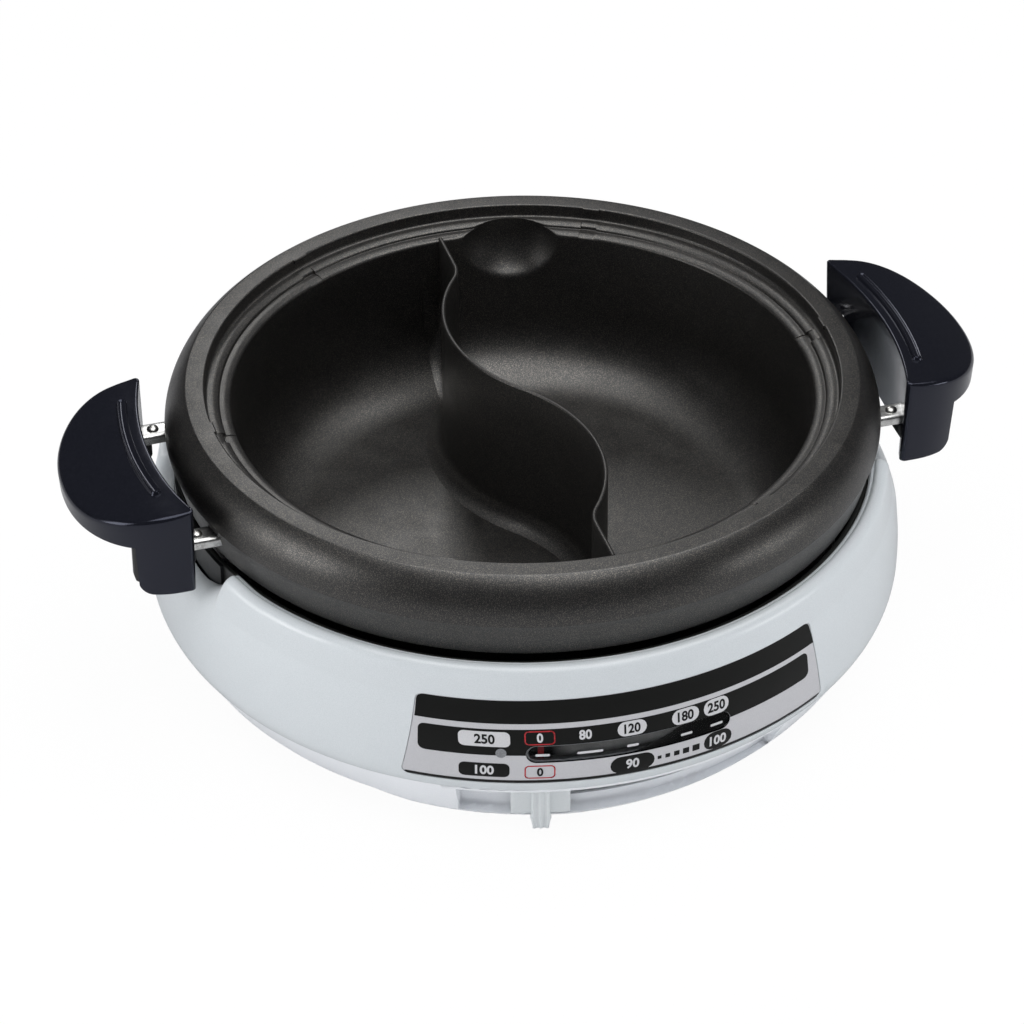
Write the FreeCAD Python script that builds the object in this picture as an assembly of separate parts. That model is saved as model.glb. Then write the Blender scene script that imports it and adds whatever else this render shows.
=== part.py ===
import FreeCAD, Part
import math
import os

# Electric hot pot: a round divided pan with two handles sits in a pearl-white heating base.
# Millimetres, +Z up, origin on the table under the centre of the base. The control panel faces -Y
# and the two handles lie on the X axis.

V = FreeCAD.Vector

# ---------------------------------------------------------------- clearances
RUN_FIT = 0.05           # radial play of a turning or sliding shaft
SEAT_GAP = 0.25          # gap round a piece that drops into a recess
AIR_GAP = 0.5            # gap between a part that moves and what it passes

# ---------------------------------------------------------------- pan
LEDGE_2_R = 165.0        # inner edge of the lower ledge, top of the inner wall
LEDGE_2_WIDTH = 4.5
LEDGE_1_WIDTH = 6.9      # upper ledge, where a lid would rest
RING_WIDTH = 10.6
RING_THICK = 4.5
RING_EDGE_CHAMFER = 1.0
LEDGE_1_DROP = 7.5
LEDGE_2_DROP = 13.5
PAN_WALL = 4.5           # wall and floor thickness of the casting
FLOOR_Z = 60.0           # cooking floor above the table
PAN_DEPTH = 102.0        # ring top to cooking floor
PAN_DRAFT_DEG = 3.4
PAN_FLOOR_FILLET = 38.0
APRON_FLARE = 11.3       # how far the apron's crease stands out past the ring
APRON_CREASE_DROP = 25.5
APRON_BULGE = 3.0        # how far the upper face of the apron swells past a straight line
APRON_TUCK = 8.8         # how far its lower edge draws in again
APRON_EDGE_DROP = 45.7
APRON_WALL = 3.2
NOTCH_COUNT = 6
NOTCH_WIDTH = 9.0
NOTCH_DEPTH_R = 3.2      # how far each notch runs in behind a ledge's edge
TAB_REACH = 1.7          # how far the ring's small tabs stand inwards
TAB_THICK = 2.5
SCOOP_R = 35.0           # ball that hollows the ladle rest in the wall
SCOOP_INSET = 26.0       # its centre inside the wall's top edge
SCOOP_CENTRE_DROP = 14.0
SCOOP_AZIMUTH_DEG = 75.8
SCOOP_WALL = 3.4

RING_TOP_Z = FLOOR_Z + PAN_DEPTH
LEDGE_1_Z = RING_TOP_Z - LEDGE_1_DROP
LEDGE_2_Z = RING_TOP_Z - LEDGE_2_DROP
PAN_UNDER_Z = FLOOR_Z - PAN_WALL
CREASE_Z = RING_TOP_Z - APRON_CREASE_DROP
APRON_EDGE_Z = RING_TOP_Z - APRON_EDGE_DROP
LEDGE_1_R = LEDGE_2_R + LEDGE_2_WIDTH
RING_IN_R = LEDGE_1_R + LEDGE_1_WIDTH
RING_OUT_R = RING_IN_R + RING_WIDTH
APRON_R = RING_OUT_R + APRON_FLARE
APRON_EDGE_R = APRON_R - APRON_TUCK
SCOOP_CENTRE_R = LEDGE_2_R - SCOOP_INSET

# ---------------------------------------------------------------- divider
DIVIDER_DROP = 9.8       # its top edge below the ring's top
DIVIDER_THICK = 2.4
DIVIDER_CROSS_DEG = 40.6  # lean of the S where it crosses the centre
DIVIDER_ARC_IN = 98.0    # from the centre to the widest point of a lobe
DIVIDER_ARC_OUT = 92.0   # from there towards the wall
DIVIDER_TURN_DEG = 36.6
DIVIDER_KINK_R = 23.8    # bend back into the straight end piece
DIVIDER_FOOT_R = 11.0    # concave fillet along its foot
DIVIDER_TOP_Z = RING_TOP_Z - DIVIDER_DROP

# ---------------------------------------------------------------- handles
HANDLE_R = 62.0
HANDLE_STANDOFF = 14.7   # apron to the handle's concave inner face, which is concentric with the pan
HANDLE_BITE = 13.0       # how far the handle's own centre lies inside that face
HANDLE_TOP_DROP = 4.0    # ring top to the handle's top face at its inner edge
HANDLE_FALL = 0.25       # how fast the top face falls outwards
HANDLE_RIM_DEPTH = 26.0  # top face to the lower edge of the rim and of the concave inner wall
HANDLE_LEG_DEPTH = 30.0  # rim to the lower edge of the legs
HANDLE_LEG_REACH = 34.0  # the handle's centre to the outer edge of the legs
HANDLE_LEG_CORNER = 6.0
HANDLE_WALL = 2.8
HANDLE_TOP_WALL = 3.2
HANDLE_EDGE_R = 2.5
THUMB_RIB_INSET = 6.5
THUMB_RIB_WIDTH = 3.0
THUMB_RIB_RISE = 1.4
THUMB_RIB_HALF_DEG = 11.5
COVER_WALL = 2.4
COVER_STRIP = 2.6        # how far the liner of a leg shows past its outer edge

HANDLE_PAN_R = APRON_R + HANDLE_STANDOFF
HANDLE_CENTRE_X = HANDLE_PAN_R - HANDLE_BITE
HANDLE_LEG_X = HANDLE_CENTRE_X + HANDLE_LEG_REACH
THUMB_RIB_R = HANDLE_PAN_R + THUMB_RIB_INSET
HANDLE_TOP_Z = RING_TOP_Z - HANDLE_TOP_DROP
HANDLE_RIM_Z = HANDLE_TOP_Z - HANDLE_RIM_DEPTH
HANDLE_LEG_Z = HANDLE_RIM_Z - HANDLE_LEG_DEPTH

# ---------------------------------------------------------------- brackets between pan and handle
BRACKET_INSET_Y = 10.2   # inside the handle's own end
BRACKET_WIDTH = 13.5
BRACKET_DROP = 1.0       # top of the bracket below the handle's rim
BRACKET_SHEET = 1.5
BRACKET_FLANGE = 5.5
BRACKET_OVERHANG = 6.5   # past the lug's middle, towards the pan
BRACKET_REACH = 21.0     # past the handle's centre
LUG_INSET = 15.5         # lug's middle inside the ring's outer edge
LUG_R = 6.0
BOLT_R = 2.0
BOLT_HEAD_R = 3.4
BOLT_HEAD = 2.4
BOLT_BITE = 8.0          # how far each bolt runs up into its lug or boss
RIVET_FROM_LUG = 27.1
RIVET_R = 1.8
RIVET_HEAD_R = 3.4
RIVET_HEAD = 2.0
HANDLE_BOSS_REACH = 14.0  # past the handle's centre
HANDLE_BOSS_INSET = 1.3  # boss nearer the middle of the handle than the bracket's own middle
HANDLE_BOSS_R = 4.2
LEG_BLOCK_IN = 3.5       # block inside each leg that the bracket lies on: reach past the leg's end
LEG_BLOCK_OUT = 10.0     # and how far it runs in behind the leg
LEG_BLOCK_HEIGHT = 7.5

BRACKET_Y = HANDLE_R - BRACKET_INSET_Y
BRACKET_TOP_Z = HANDLE_RIM_Z - BRACKET_DROP
LUG_X = RING_OUT_R - LUG_INSET
BRACKET_IN_X = LUG_X - BRACKET_OVERHANG
BRACKET_OUT_X = HANDLE_CENTRE_X + BRACKET_REACH
RIVET_X = LUG_X + RIVET_FROM_LUG
HANDLE_BOSS_X = HANDLE_CENTRE_X + HANDLE_BOSS_REACH
HANDLE_BOSS_Y = BRACKET_Y - HANDLE_BOSS_INSET

# ---------------------------------------------------------------- guard ring and base casing
PAN_GUARD_GAP = 0.7      # the pan's apron hangs this far inside the guard ring
GUARD_WALL = 2.6
GUARD_MOUTH_GAP = 0.7
GUARD_FOOT_WIDTH = 16.8
GUARD_TOP_DROP = 2.2     # its top edge below the casing's lip
LIP_TOP_DROP = 5.1       # the casing's lip below the apron's edge
LIP_BEAD = 3.0           # width of the lip's inner bead
LIP_STEP = 0.8           # small step down to that bead
LIP_CROWN_WIDTH = 3.0
LIP_CROWN_FALL = 2.7
NECK_WIDTH = 7.0         # lip down to the shoulder
NECK_FALL = 16.0
BELLY_SWELL = 4.5        # widest circle of the base past the shoulder
PARTING_TUCK = 5.3       # and past the parting line
BELLY_RISE = 24.0        # above the parting line
FOOT_TUCK = 5.1          # the lower casing's flank draws in this far above its rounded edge
BOTTOM_TUCK = 7.6
CASING_BOTTOM_Z = 9.0
CASING_FOOT_RISE = 4.5
LOWER_CASING_HEIGHT = 24.0
CASING_WALL = 3.0
SADDLE_TOP_ROOM = 11.0   # lowered part of the lip under each handle: past the handle at its top
SADDLE_FOOT_ROOM = 5.0   # and at its foot
SADDLE_CORNER = 9.0
SADDLE_SKIM = 0.4        # its rounded corners run out this far above the lip
SPIGOT_HEIGHT = 4.0
SPIGOT_WALL = 2.2
SADDLE_SHIELD_WALL = 1.8
SADDLE_SHIELD_HALF_DEG = 16.2
SADDLE_SHIELD_DROP = 0.6

GUARD_OUT_R = APRON_EDGE_R + PAN_GUARD_GAP + GUARD_WALL
GUARD_FOOT_R = GUARD_OUT_R - GUARD_FOOT_WIDTH
MOUTH_R = GUARD_OUT_R + GUARD_MOUTH_GAP
LIP_TOP_R = MOUTH_R + LIP_BEAD
LIP_R = LIP_TOP_R + LIP_CROWN_WIDTH
SHOULDER_R = LIP_R + NECK_WIDTH
BELLY_R = SHOULDER_R + BELLY_SWELL
PARTING_R = BELLY_R - PARTING_TUCK
CASING_FOOT_R = PARTING_R - FOOT_TUCK
CASING_BOTTOM_R = CASING_FOOT_R - BOTTOM_TUCK
LIP_TOP_Z = APRON_EDGE_Z - LIP_TOP_DROP
LIP_Z = LIP_TOP_Z - LIP_CROWN_FALL
SHOULDER_Z = LIP_Z - NECK_FALL
SADDLE_Z = SHOULDER_Z
GUARD_TOP_Z = LIP_TOP_Z - GUARD_TOP_DROP
SADDLE_SHIELD_TOP_Z = GUARD_TOP_Z - SADDLE_SHIELD_DROP
PARTING_Z = CASING_BOTTOM_Z + LOWER_CASING_HEIGHT
BELLY_Z = PARTING_Z + BELLY_RISE
SADDLE_HALF_TOP = HANDLE_R + SADDLE_TOP_ROOM
SADDLE_HALF_FOOT = HANDLE_R + SADDLE_FOOT_ROOM
COVER_FLOOR_Z = CASING_BOTTOM_Z + CASING_WALL

# ---------------------------------------------------------------- heating
ELEMENT_DROP = 7.5       # middle of the heating tube below the pan's underside
ELEMENT_ABOVE_DISH = 10.0
DISH_ABOVE_SHIELD = 5.0
DISH_HEIGHT = 17.0
SHEET = 1.0
SHIELD_INSET = 10.0
REFLECTOR_CONE = 52.0    # width of the sloping part
FLANGE_INSET = 7.5       # reflector's edge inside the lower casing's bottom edge
REFLECTOR_FLANGE = 15.5
SPACER_R = 5.0
SPACER_CIRCLE_R = 60.0
SPACER_COUNT = 3
REST_INSET = 56.0        # the rests' circle inside the pan's wall
REST_LENGTH = 14.0
REST_WIDTH = 16.0
REST_SHEET = 1.5
REST_COUNT = 3
ELEMENT_INSIDE_RESTS = 24.0
ELEMENT_TUBE_R = 3.3
ELEMENT_LEG_X = 12.0
ELEMENT_LEG_OUT = 21.0   # the cold legs outside the heated turn
ELEMENT_BEND_R = 7.0
CLIP_WIDTH = 8.0
CLIP_COUNT = 3
CERAMIC_R = 6.0
CERAMIC_FLANGE_R = 8.0
CERAMIC_FLANGE = 2.0
CERAMIC_REACH = 5.0      # sleeve below the heat shield
TAIL_REACH = 4.0         # cold leg below its sleeve

REST_CIRCLE_R = LEDGE_2_R - REST_INSET
ELEMENT_R = REST_CIRCLE_R - ELEMENT_INSIDE_RESTS
ELEMENT_LEG_Y = ELEMENT_R + ELEMENT_LEG_OUT
REFLECTOR_FLANGE_R = CASING_BOTTOM_R - FLANGE_INSET
REFLECTOR_RIM_R = REFLECTOR_FLANGE_R - REFLECTOR_FLANGE
REFLECTOR_FLOOR_R = REFLECTOR_RIM_R - REFLECTOR_CONE
SHIELD_R = REFLECTOR_RIM_R - SHIELD_INSET
ELEMENT_Z = PAN_UNDER_Z - ELEMENT_DROP
REFLECTOR_Z = ELEMENT_Z - ELEMENT_ABOVE_DISH
SHIELD_Z = REFLECTOR_Z - DISH_ABOVE_SHIELD
REFLECTOR_FLANGE_Z = REFLECTOR_Z + DISH_HEIGHT
GUARD_FOOT_Z = REFLECTOR_FLANGE_Z + SHEET
CERAMIC_FOOT_Z = SHIELD_Z - CERAMIC_REACH
ELEMENT_LEG_Z = CERAMIC_FOOT_Z - TAIL_REACH

# ---------------------------------------------------------------- screws and posts of the casing
POST_INSET = 9.0         # inside the lower casing's bottom edge
POST_R = 4.6
POST_UNDER_DISH = 2.0    # top of the upper posts below the reflector's flange
POST_RIB = 3.0
POST_COUNT = 4
SCREW_R = 2.0
SCREW_HEAD_R = 3.8
SCREW_HEAD = 2.4
SCREW_SINK = 2.0         # screw heads lie this deep in the lower casing
SCREW_BITE = 15.0        # how far a casing screw runs into the upper post
SHIELD_SCREW_BITE = 9.0
INNER_POST_INSET = 10.0  # inside the heat shield's edge
INNER_POST_DEGS = (55.0, 125.0, 235.0, 305.0)
VENT_COUNT = 24
VENT_IN_R = 88.0
VENT_OUT_R = 120.0
VENT_WIDTH = 3.0

POST_CIRCLE_R = CASING_BOTTOM_R - POST_INSET
POST_TOP_Z = REFLECTOR_FLANGE_Z - POST_UNDER_DISH
INNER_POST_CIRCLE_R = SHIELD_R - INNER_POST_INSET

# ---------------------------------------------------------------- thermostat and its sensor
THERMOSTAT_R = 23.0
THERMOSTAT_HEIGHT = 8.5
COLLAR_R = 10.0
COLLAR_HEIGHT = 10.0     # above the heat shield's underside
SENSOR_STEM_R = 5.95
SENSOR_STEM_LIFT = 4.0   # stem's foot above the same face
SENSOR_CAP_R = 15.0
SENSOR_CAP_HEIGHT = 5.0
SENSOR_TRAVEL = 2.0
SPRING_R = 12.2
SPRING_WIRE_R = 0.6
SPRING_TURNS = 5
SENSOR_HOLE_R = 16.5

COLLAR_TOP_Z = SHIELD_Z + COLLAR_HEIGHT
SENSOR_STEM_LOW_Z = SHIELD_Z + SENSOR_STEM_LIFT

# ---------------------------------------------------------------- lever
LEVER_OFF_DEG = -14.2    # from the front, positive towards +X
LEVER_HIGH_DEG = 12.2
SPINDLE_R = 4.0
SPINDLE_BOSS_R = 8.0
SPINDLE_BOSS_HEIGHT = 3.5
ARM_LIFT = 7.2           # above the lower casing's floor
ARM_SHEET = 1.6
ARM_WIDTH = 10.0
HUB_R = 13.0
TRACK_HALF_DEG = 27.0
TRACK_DEPTH = 8.6        # back wall of the recess that the knob slides in, behind the flank's foot
TRACK_ROOF = 2.0         # roof of the recess below the parting line
KNOB_STANDOFF = 5.2      # knob's back in front of that wall
KNOB_WALL = 2.6
KNOB_HALF_WIDTH = 16.0
KNOB_ROOF_GAP = 0.8
KNOB_FLOOR_GAP = 0.6
TAB_HALF_WIDTH = 5.0
TAB_PROUD = 2.6          # ridged tab in front of the flank's foot
TAB_HANG = 4.6           # and below the casing
KNOB_BOSS_HALF = 8.0
KNOB_BOSS_HEIGHT = 8.0
POINTER_BEHIND_TRACK = 7.5
POINTER_WIDTH = 3.2
POINTER_WALL = 1.4
POINTER_INSET = 5.4      # pointer's face inside the widest circle of the base
POINTER_RUN_RISE = 9.0   # its bridge above the parting line

ARM_Z = COVER_FLOOR_Z + ARM_LIFT
TRACK_R = CASING_FOOT_R - TRACK_DEPTH
TRACK_ROOF_Z = PARTING_Z - TRACK_ROOF
KNOB_IN_R = TRACK_R + KNOB_STANDOFF
KNOB_TOP_Z = TRACK_ROOF_Z - KNOB_ROOF_GAP
KNOB_FOOT_Z = COVER_FLOOR_Z + KNOB_FLOOR_GAP
TAB_OUT_R = CASING_FOOT_R + TAB_PROUD
TAB_FOOT_Z = CASING_BOTTOM_Z - TAB_HANG
POINTER_RISE_R = TRACK_R - POINTER_BEHIND_TRACK
POINTER_OUT_R = BELLY_R - POINTER_INSET
POINTER_RUN_Z = PARTING_Z + POINTER_RUN_RISE

# ---------------------------------------------------------------- control panel
PANEL_ABOVE_SHOULDER = 1.0
PANEL_ABOVE_PARTING = 9.0
PANEL_HALF_TOP = 106.5
PANEL_HALF_FOOT = 117.0
PANEL_CORNER = 4.0
PANEL_RECESS = 1.4
PANEL_SINK = 0.3         # face of the panel below the casing's skin
WINDOW_RISE = 20.8       # middle of the window above the panel's lower edge
WINDOW_HALF_HEIGHT = 6.0
WINDOW_LEFT_X = -59.6
WINDOW_RIGHT_X = 53.6
WINDOW_LAND = 1.2        # casing left standing behind the window's edge
STRIP_INSET = 8.6        # scale strip inside the widest circle of the base
STRIP_WALL = 1.2
STRIP_HALF_HEIGHT = 8.5
STRIP_END_DEG = 2.0
STRIP_SPARE_DEG = 7.0    # past each end of the lever's travel
LAMP_DEG = -20.0
LENS_R = 2.9
LENS_STANDOFF = 0.6
LAMP_R = 2.8
LAMP_LENGTH = 8.0

PANEL_TOP_Z = SHOULDER_Z + PANEL_ABOVE_SHOULDER
PANEL_FOOT_Z = PARTING_Z + PANEL_ABOVE_PARTING
WINDOW_Z = PANEL_FOOT_Z + WINDOW_RISE
STRIP_R = BELLY_R - STRIP_INSET
LENS_INNER_R = STRIP_R + LENS_STANDOFF

# ---------------------------------------------------------------- power inlet at the back
INLET_UNDER_DISH = 9.0   # middle of the inlet below the reflector's flange
INLET_HALF_WIDTH = 17.0
INLET_HALF_HEIGHT = 8.8
INLET_DEPTH = 22.0
INLET_INSET = 2.0        # its face inside the widest circle of the base
INLET_WALL = 2.0
INLET_FLANGE = 3.5
INLET_FLANGE_DEPTH = 7.5
PIN_R = 1.6
PIN_X = 6.0
PIN_SINK = 9.0           # pin's tip behind the inlet's face
PIN_TAIL = 5.0           # pin's tail behind the inlet's back
POLE_X = 12.2
POLE_HALF_WIDTH = 2.2
POLE_HALF_HEIGHT = 4.5
POLE_THICK = 2.0

INLET_Z = REFLECTOR_FLANGE_Z - INLET_UNDER_DISH
INLET_FACE_Y = BELLY_R - INLET_INSET
INLET_BACK_Y = INLET_FACE_Y - INLET_DEPTH
INLET_FLANGE_Y = INLET_FACE_Y - INLET_FLANGE_DEPTH
PIN_TIP_Y = INLET_FACE_Y - PIN_SINK
PIN_TAIL_Y = INLET_BACK_Y - PIN_TAIL

# ---------------------------------------------------------------- feet
FOOT_INSET = 33.0        # inside the lower casing's bottom edge
FOOT_R = 12.0
FOOT_SPIGOT_R = 4.0
FOOT_SPIGOT = 4.0
FOOT_COUNT = 4
FOOT_CIRCLE_R = CASING_BOTTOM_R - FOOT_INSET

# ---------------------------------------------------------------- wiring
LEAD_R = 1.5
BLOCK_BEHIND_LEGS = 26.0
BLOCK_X = 0.0
BLOCK_SIZE = (34.0, 16.0, 12.0)
FUSE_X = 42.0
FUSE_Y = 52.0
FUSE_R = 2.5
FUSE_LENGTH = 14.0
BLOCK_Y = ELEMENT_LEG_Y + BLOCK_BEHIND_LEGS


# ================================================================ helpers
def rounded_edges(points, radii, closed=False):
    """Straight runs joined by tangent arcs; radii[i] rounds points[i]."""
    pts = [V(*p) for p in points]
    count = len(pts)
    joints = []
    for i, (point, radius) in enumerate(zip(pts, radii)):
        inner = closed or 0 < i < count - 1
        if not inner or radius == 0:
            joints.append((point, None, point))
            continue
        d_in = (point - pts[i - 1]).normalize()
        d_out = (pts[(i + 1) % count] - point).normalize()
        turn = d_in.getAngle(d_out)
        cut = radius * math.tan(turn / 2)
        start = point - d_in * cut
        end = point + d_out * cut
        towards = (d_out - d_in).normalize()
        middle = point + towards * (radius / math.cos(turn / 2) - radius)
        joints.append((start, middle, end))
    edges = []
    for i, (start, middle, end) in enumerate(joints):
        if middle is not None:
            edges.append(Part.Arc(start, middle, end).toShape())
        if i < count - 1 or closed:
            following = joints[(i + 1) % count][0]
            if end.distanceToPoint(following) > 1e-6:
                edges.append(Part.LineSegment(end, following).toShape())
    return edges


def rounded_face(points, radii):
    return Part.Face(Part.Wire(rounded_edges(points, radii, closed=True)))


def section(*steps):
    """Closed (r, z) outline: a pair is a corner, a four is an arc through its first pair."""
    edges = []
    here = V(steps[0][0], 0, steps[0][1])
    first = here
    for step in steps[1:] + (steps[0],):
        there = V(step[-2], 0, step[-1])
        if len(step) == 4:
            edges.append(Part.Arc(here, V(step[0], 0, step[1]), there).toShape())
        elif here.distanceToPoint(there) > 1e-7:
            edges.append(Part.LineSegment(here, there).toShape())
        here = there
    assert here.distanceToPoint(first) < 1e-7
    return Part.Face(Part.Wire(edges))


def lathe(*steps):
    return section(*steps).revolve(V(0, 0, 0), V(0, 0, 1), 360)


def cyl(x, y, z_low, z_high, radius):
    return Part.makeCylinder(radius, z_high - z_low, V(x, y, z_low))


def ring(r_in, r_out, z_low, z_high, x=0.0, y=0.0):
    return cyl(x, y, z_low, z_high, r_out).cut(cyl(x, y, z_low - 1, z_high + 1, r_in))


def box(x_pair, y_pair, z_pair):
    size = [pair[1] - pair[0] for pair in (x_pair, y_pair, z_pair)]
    return Part.makeBox(*size, V(x_pair[0], y_pair[0], z_pair[0]))


def band(r_in, r_out, z_low, z_high, start_deg, end_deg):
    """Part of a ring between two angles, counted from +X."""
    face = section((r_in, z_low), (r_out, z_low), (r_out, z_high), (r_in, z_high))
    face.rotate(V(0, 0, 0), V(0, 0, 1), start_deg)
    return face.revolve(V(0, 0, 0), V(0, 0, 1), end_deg - start_deg)


def front_deg(azimuth):
    """Angle from +X of an azimuth counted from the front towards +X."""
    return azimuth - 90.0


def turned(shape, degrees):
    copy = shape.copy()
    copy.rotate(V(0, 0, 0), V(0, 0, 1), degrees)
    return copy


def spread(shape, count, first_deg=0.0):
    return [turned(shape, first_deg + 360.0 * i / count) for i in range(count)]


def polar(radius, degrees, z=0.0):
    angle = math.radians(degrees)
    return V(radius * math.cos(angle), radius * math.sin(angle), z)


def mirror_x(shape):
    return shape.mirror(V(0, 0, 0), V(1, 0, 0))


def fuse_all(shapes):
    return shapes[0].multiFuse(shapes[1:]).removeSplitter()


def solids_of(shape):
    return shape.Solids[0] if len(shape.Solids) == 1 else Part.makeCompound(shape.Solids)


def tube_along(points, radii, radius):
    wire = Part.Wire(rounded_edges(points, radii))
    heading = (V(*points[1]) - V(*points[0])).normalize()
    profile = Part.Wire(Part.makeCircle(radius, V(*points[0]), heading))
    sweep = Part.BRepOffsetAPI.MakePipeShell(wire)
    sweep.add(profile)
    sweep.build()
    sweep.makeSolid()
    return sweep.shape()


# ================================================================ pan
def wall_geometry():
    """Centre radius and end points of the fillet between the drafted wall and the floor."""
    draft = math.radians(PAN_DRAFT_DEG)
    centre_z = FLOOR_Z + PAN_FLOOR_FILLET
    run = (LEDGE_2_Z - centre_z + PAN_FLOOR_FILLET * math.sin(draft)) / math.cos(draft)
    centre_r = LEDGE_2_R - PAN_FLOOR_FILLET * math.cos(draft) - run * math.sin(draft)
    return centre_r, centre_z, draft


def fillet_points(grow):
    """Start, middle and end of the floor fillet on a surface moved outwards by grow."""
    centre_r, centre_z, draft = wall_geometry()
    radius = PAN_FLOOR_FILLET + grow
    half = (math.pi / 2 - draft) / 2
    start = (centre_r, centre_z - radius)
    middle = (centre_r + radius * math.sin(half), centre_z - radius * math.cos(half))
    end = (centre_r + radius * math.cos(draft), centre_z - radius * math.sin(draft))
    return start, middle, end


def wall_r(z, grow):
    """Radius of the drafted wall at a height, on a surface moved outwards by grow."""
    draft = math.radians(PAN_DRAFT_DEG)
    return LEDGE_2_R + grow / math.cos(draft) - (LEDGE_2_Z - z) * math.tan(draft)


def pan_cavity(grow, top_z):
    start, middle, end = fillet_points(grow)
    return lathe((0, start[1]), start, middle + end, (wall_r(top_z, grow), top_z), (0, top_z))


def apron_swell(inset):
    """Middle point of the apron's swollen upper face."""
    chord_r = APRON_R - RING_OUT_R
    chord_z = APRON_CREASE_DROP
    length = math.hypot(chord_r, chord_z)
    middle_r = (RING_OUT_R + APRON_R) / 2 + APRON_BULGE * chord_z / length
    middle_z = RING_TOP_Z - chord_z / 2 + APRON_BULGE * chord_r / length
    return (middle_r - inset, middle_z - inset * chord_r / chord_z)


def divider_half(offset):
    """Edges from the centre to the +Y wall, moved sideways by offset."""
    lean = math.radians(DIVIDER_CROSS_DEG)
    turn = math.radians(DIVIDER_TURN_DEG)
    first = V(DIVIDER_ARC_IN * math.cos(lean), DIVIDER_ARC_IN * math.sin(lean), 0)
    widest = first - V(DIVIDER_ARC_IN, 0, 0)
    second = widest + V(DIVIDER_ARC_OUT, 0, 0)
    reach = DIVIDER_ARC_OUT + DIVIDER_KINK_R
    third = second + V(-reach * math.cos(turn), reach * math.sin(turn), 0)

    def lobe(centre, radius, angle):
        return centre + V(-math.cos(angle), math.sin(angle), 0) * (radius + offset)

    def kink(angle):
        return third + V(math.cos(angle), -math.sin(angle), 0) * (DIVIDER_KINK_R - offset)

    a = lobe(first, DIVIDER_ARC_IN, -lean)
    b = lobe(first, DIVIDER_ARC_IN, 0)
    c = lobe(second, DIVIDER_ARC_OUT, turn)
    d = kink(0)
    e = V(d.x, LEDGE_2_R + PAN_WALL, 0)
    return [
        (a, lobe(first, DIVIDER_ARC_IN, -lean / 2), b),
        (b, lobe(second, DIVIDER_ARC_OUT, turn / 2), c),
        (c, kink(turn / 2), d),
        (d, None, e),
    ]


def divider_side(offset):
    """The whole S, wall to wall, as arcs and straight ends."""
    far = [(V(-q.x, -q.y, 0), m and V(-m.x, -m.y, 0), V(-p.x, -p.y, 0))
           for p, m, q in reversed(divider_half(-offset))]
    return far + divider_half(offset)


def edges_from(pieces):
    edges = []
    for start, middle, end in pieces:
        if middle is None:
            edges.append(Part.LineSegment(start, end).toShape())
        else:
            edges.append(Part.Arc(start, middle, end).toShape())
    return edges


def divider_wall():
    half = DIVIDER_THICK / 2
    left = divider_side(half)
    right = divider_side(-half)
    caps = [Part.LineSegment(left[-1][2], right[-1][2]).toShape(),
            Part.LineSegment(right[0][0], left[0][0]).toShape()]
    outline = Part.Wire(Part.__sortEdges__(edges_from(left) + edges_from(right) + caps))
    low_z = FLOOR_Z - PAN_WALL / 2
    face = Part.Face(outline)
    face.translate(V(0, 0, low_z))
    return face.extrude(V(0, 0, DIVIDER_TOP_Z - low_z))


def divider_foot():
    """Concave fillet on both sides of the wall, swept along the S."""
    spine_pieces = divider_side(0)
    spine = Part.Wire(edges_from(spine_pieces))
    start, _, after = spine_pieces[0]
    heading = (after - start).normalize()
    side = V(-heading.y, heading.x, 0)
    half = DIVIDER_THICK / 2 - RUN_FIT
    reach = half + DIVIDER_FOOT_R
    low = FLOOR_Z - PAN_WALL / 2
    top = FLOOR_Z + DIVIDER_FOOT_R
    sink = DIVIDER_FOOT_R * (1 - math.sqrt(0.5))

    def at(across, z):
        return start + side * across + V(0, 0, z)

    outline = [
        Part.LineSegment(at(-reach, low), at(reach, low)),
        Part.LineSegment(at(reach, low), at(reach, FLOOR_Z)),
        Part.Arc(at(reach, FLOOR_Z), at(half + sink, FLOOR_Z + sink), at(half, top)),
        Part.LineSegment(at(half, top), at(-half, top)),
        Part.Arc(at(-half, top), at(-half - sink, FLOOR_Z + sink), at(-reach, FLOOR_Z)),
        Part.LineSegment(at(-reach, FLOOR_Z), at(-reach, low)),
    ]
    sweep = Part.BRepOffsetAPI.MakePipeShell(spine)
    sweep.setBiNormalMode(V(0, 0, 1))
    sweep.add(Part.Wire([curve.toShape() for curve in outline]))
    sweep.build()
    sweep.makeSolid()
    return sweep.shape()


def scoop_ball(radius):
    """Ball whose poles point at the wall, so that its seam stays clear of the cut."""
    centre = polar(SCOOP_CENTRE_R, SCOOP_AZIMUTH_DEG, RING_TOP_Z - SCOOP_CENTRE_DROP)
    return Part.makeSphere(radius, centre, polar(1.0, SCOOP_AZIMUTH_DEG))


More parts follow.
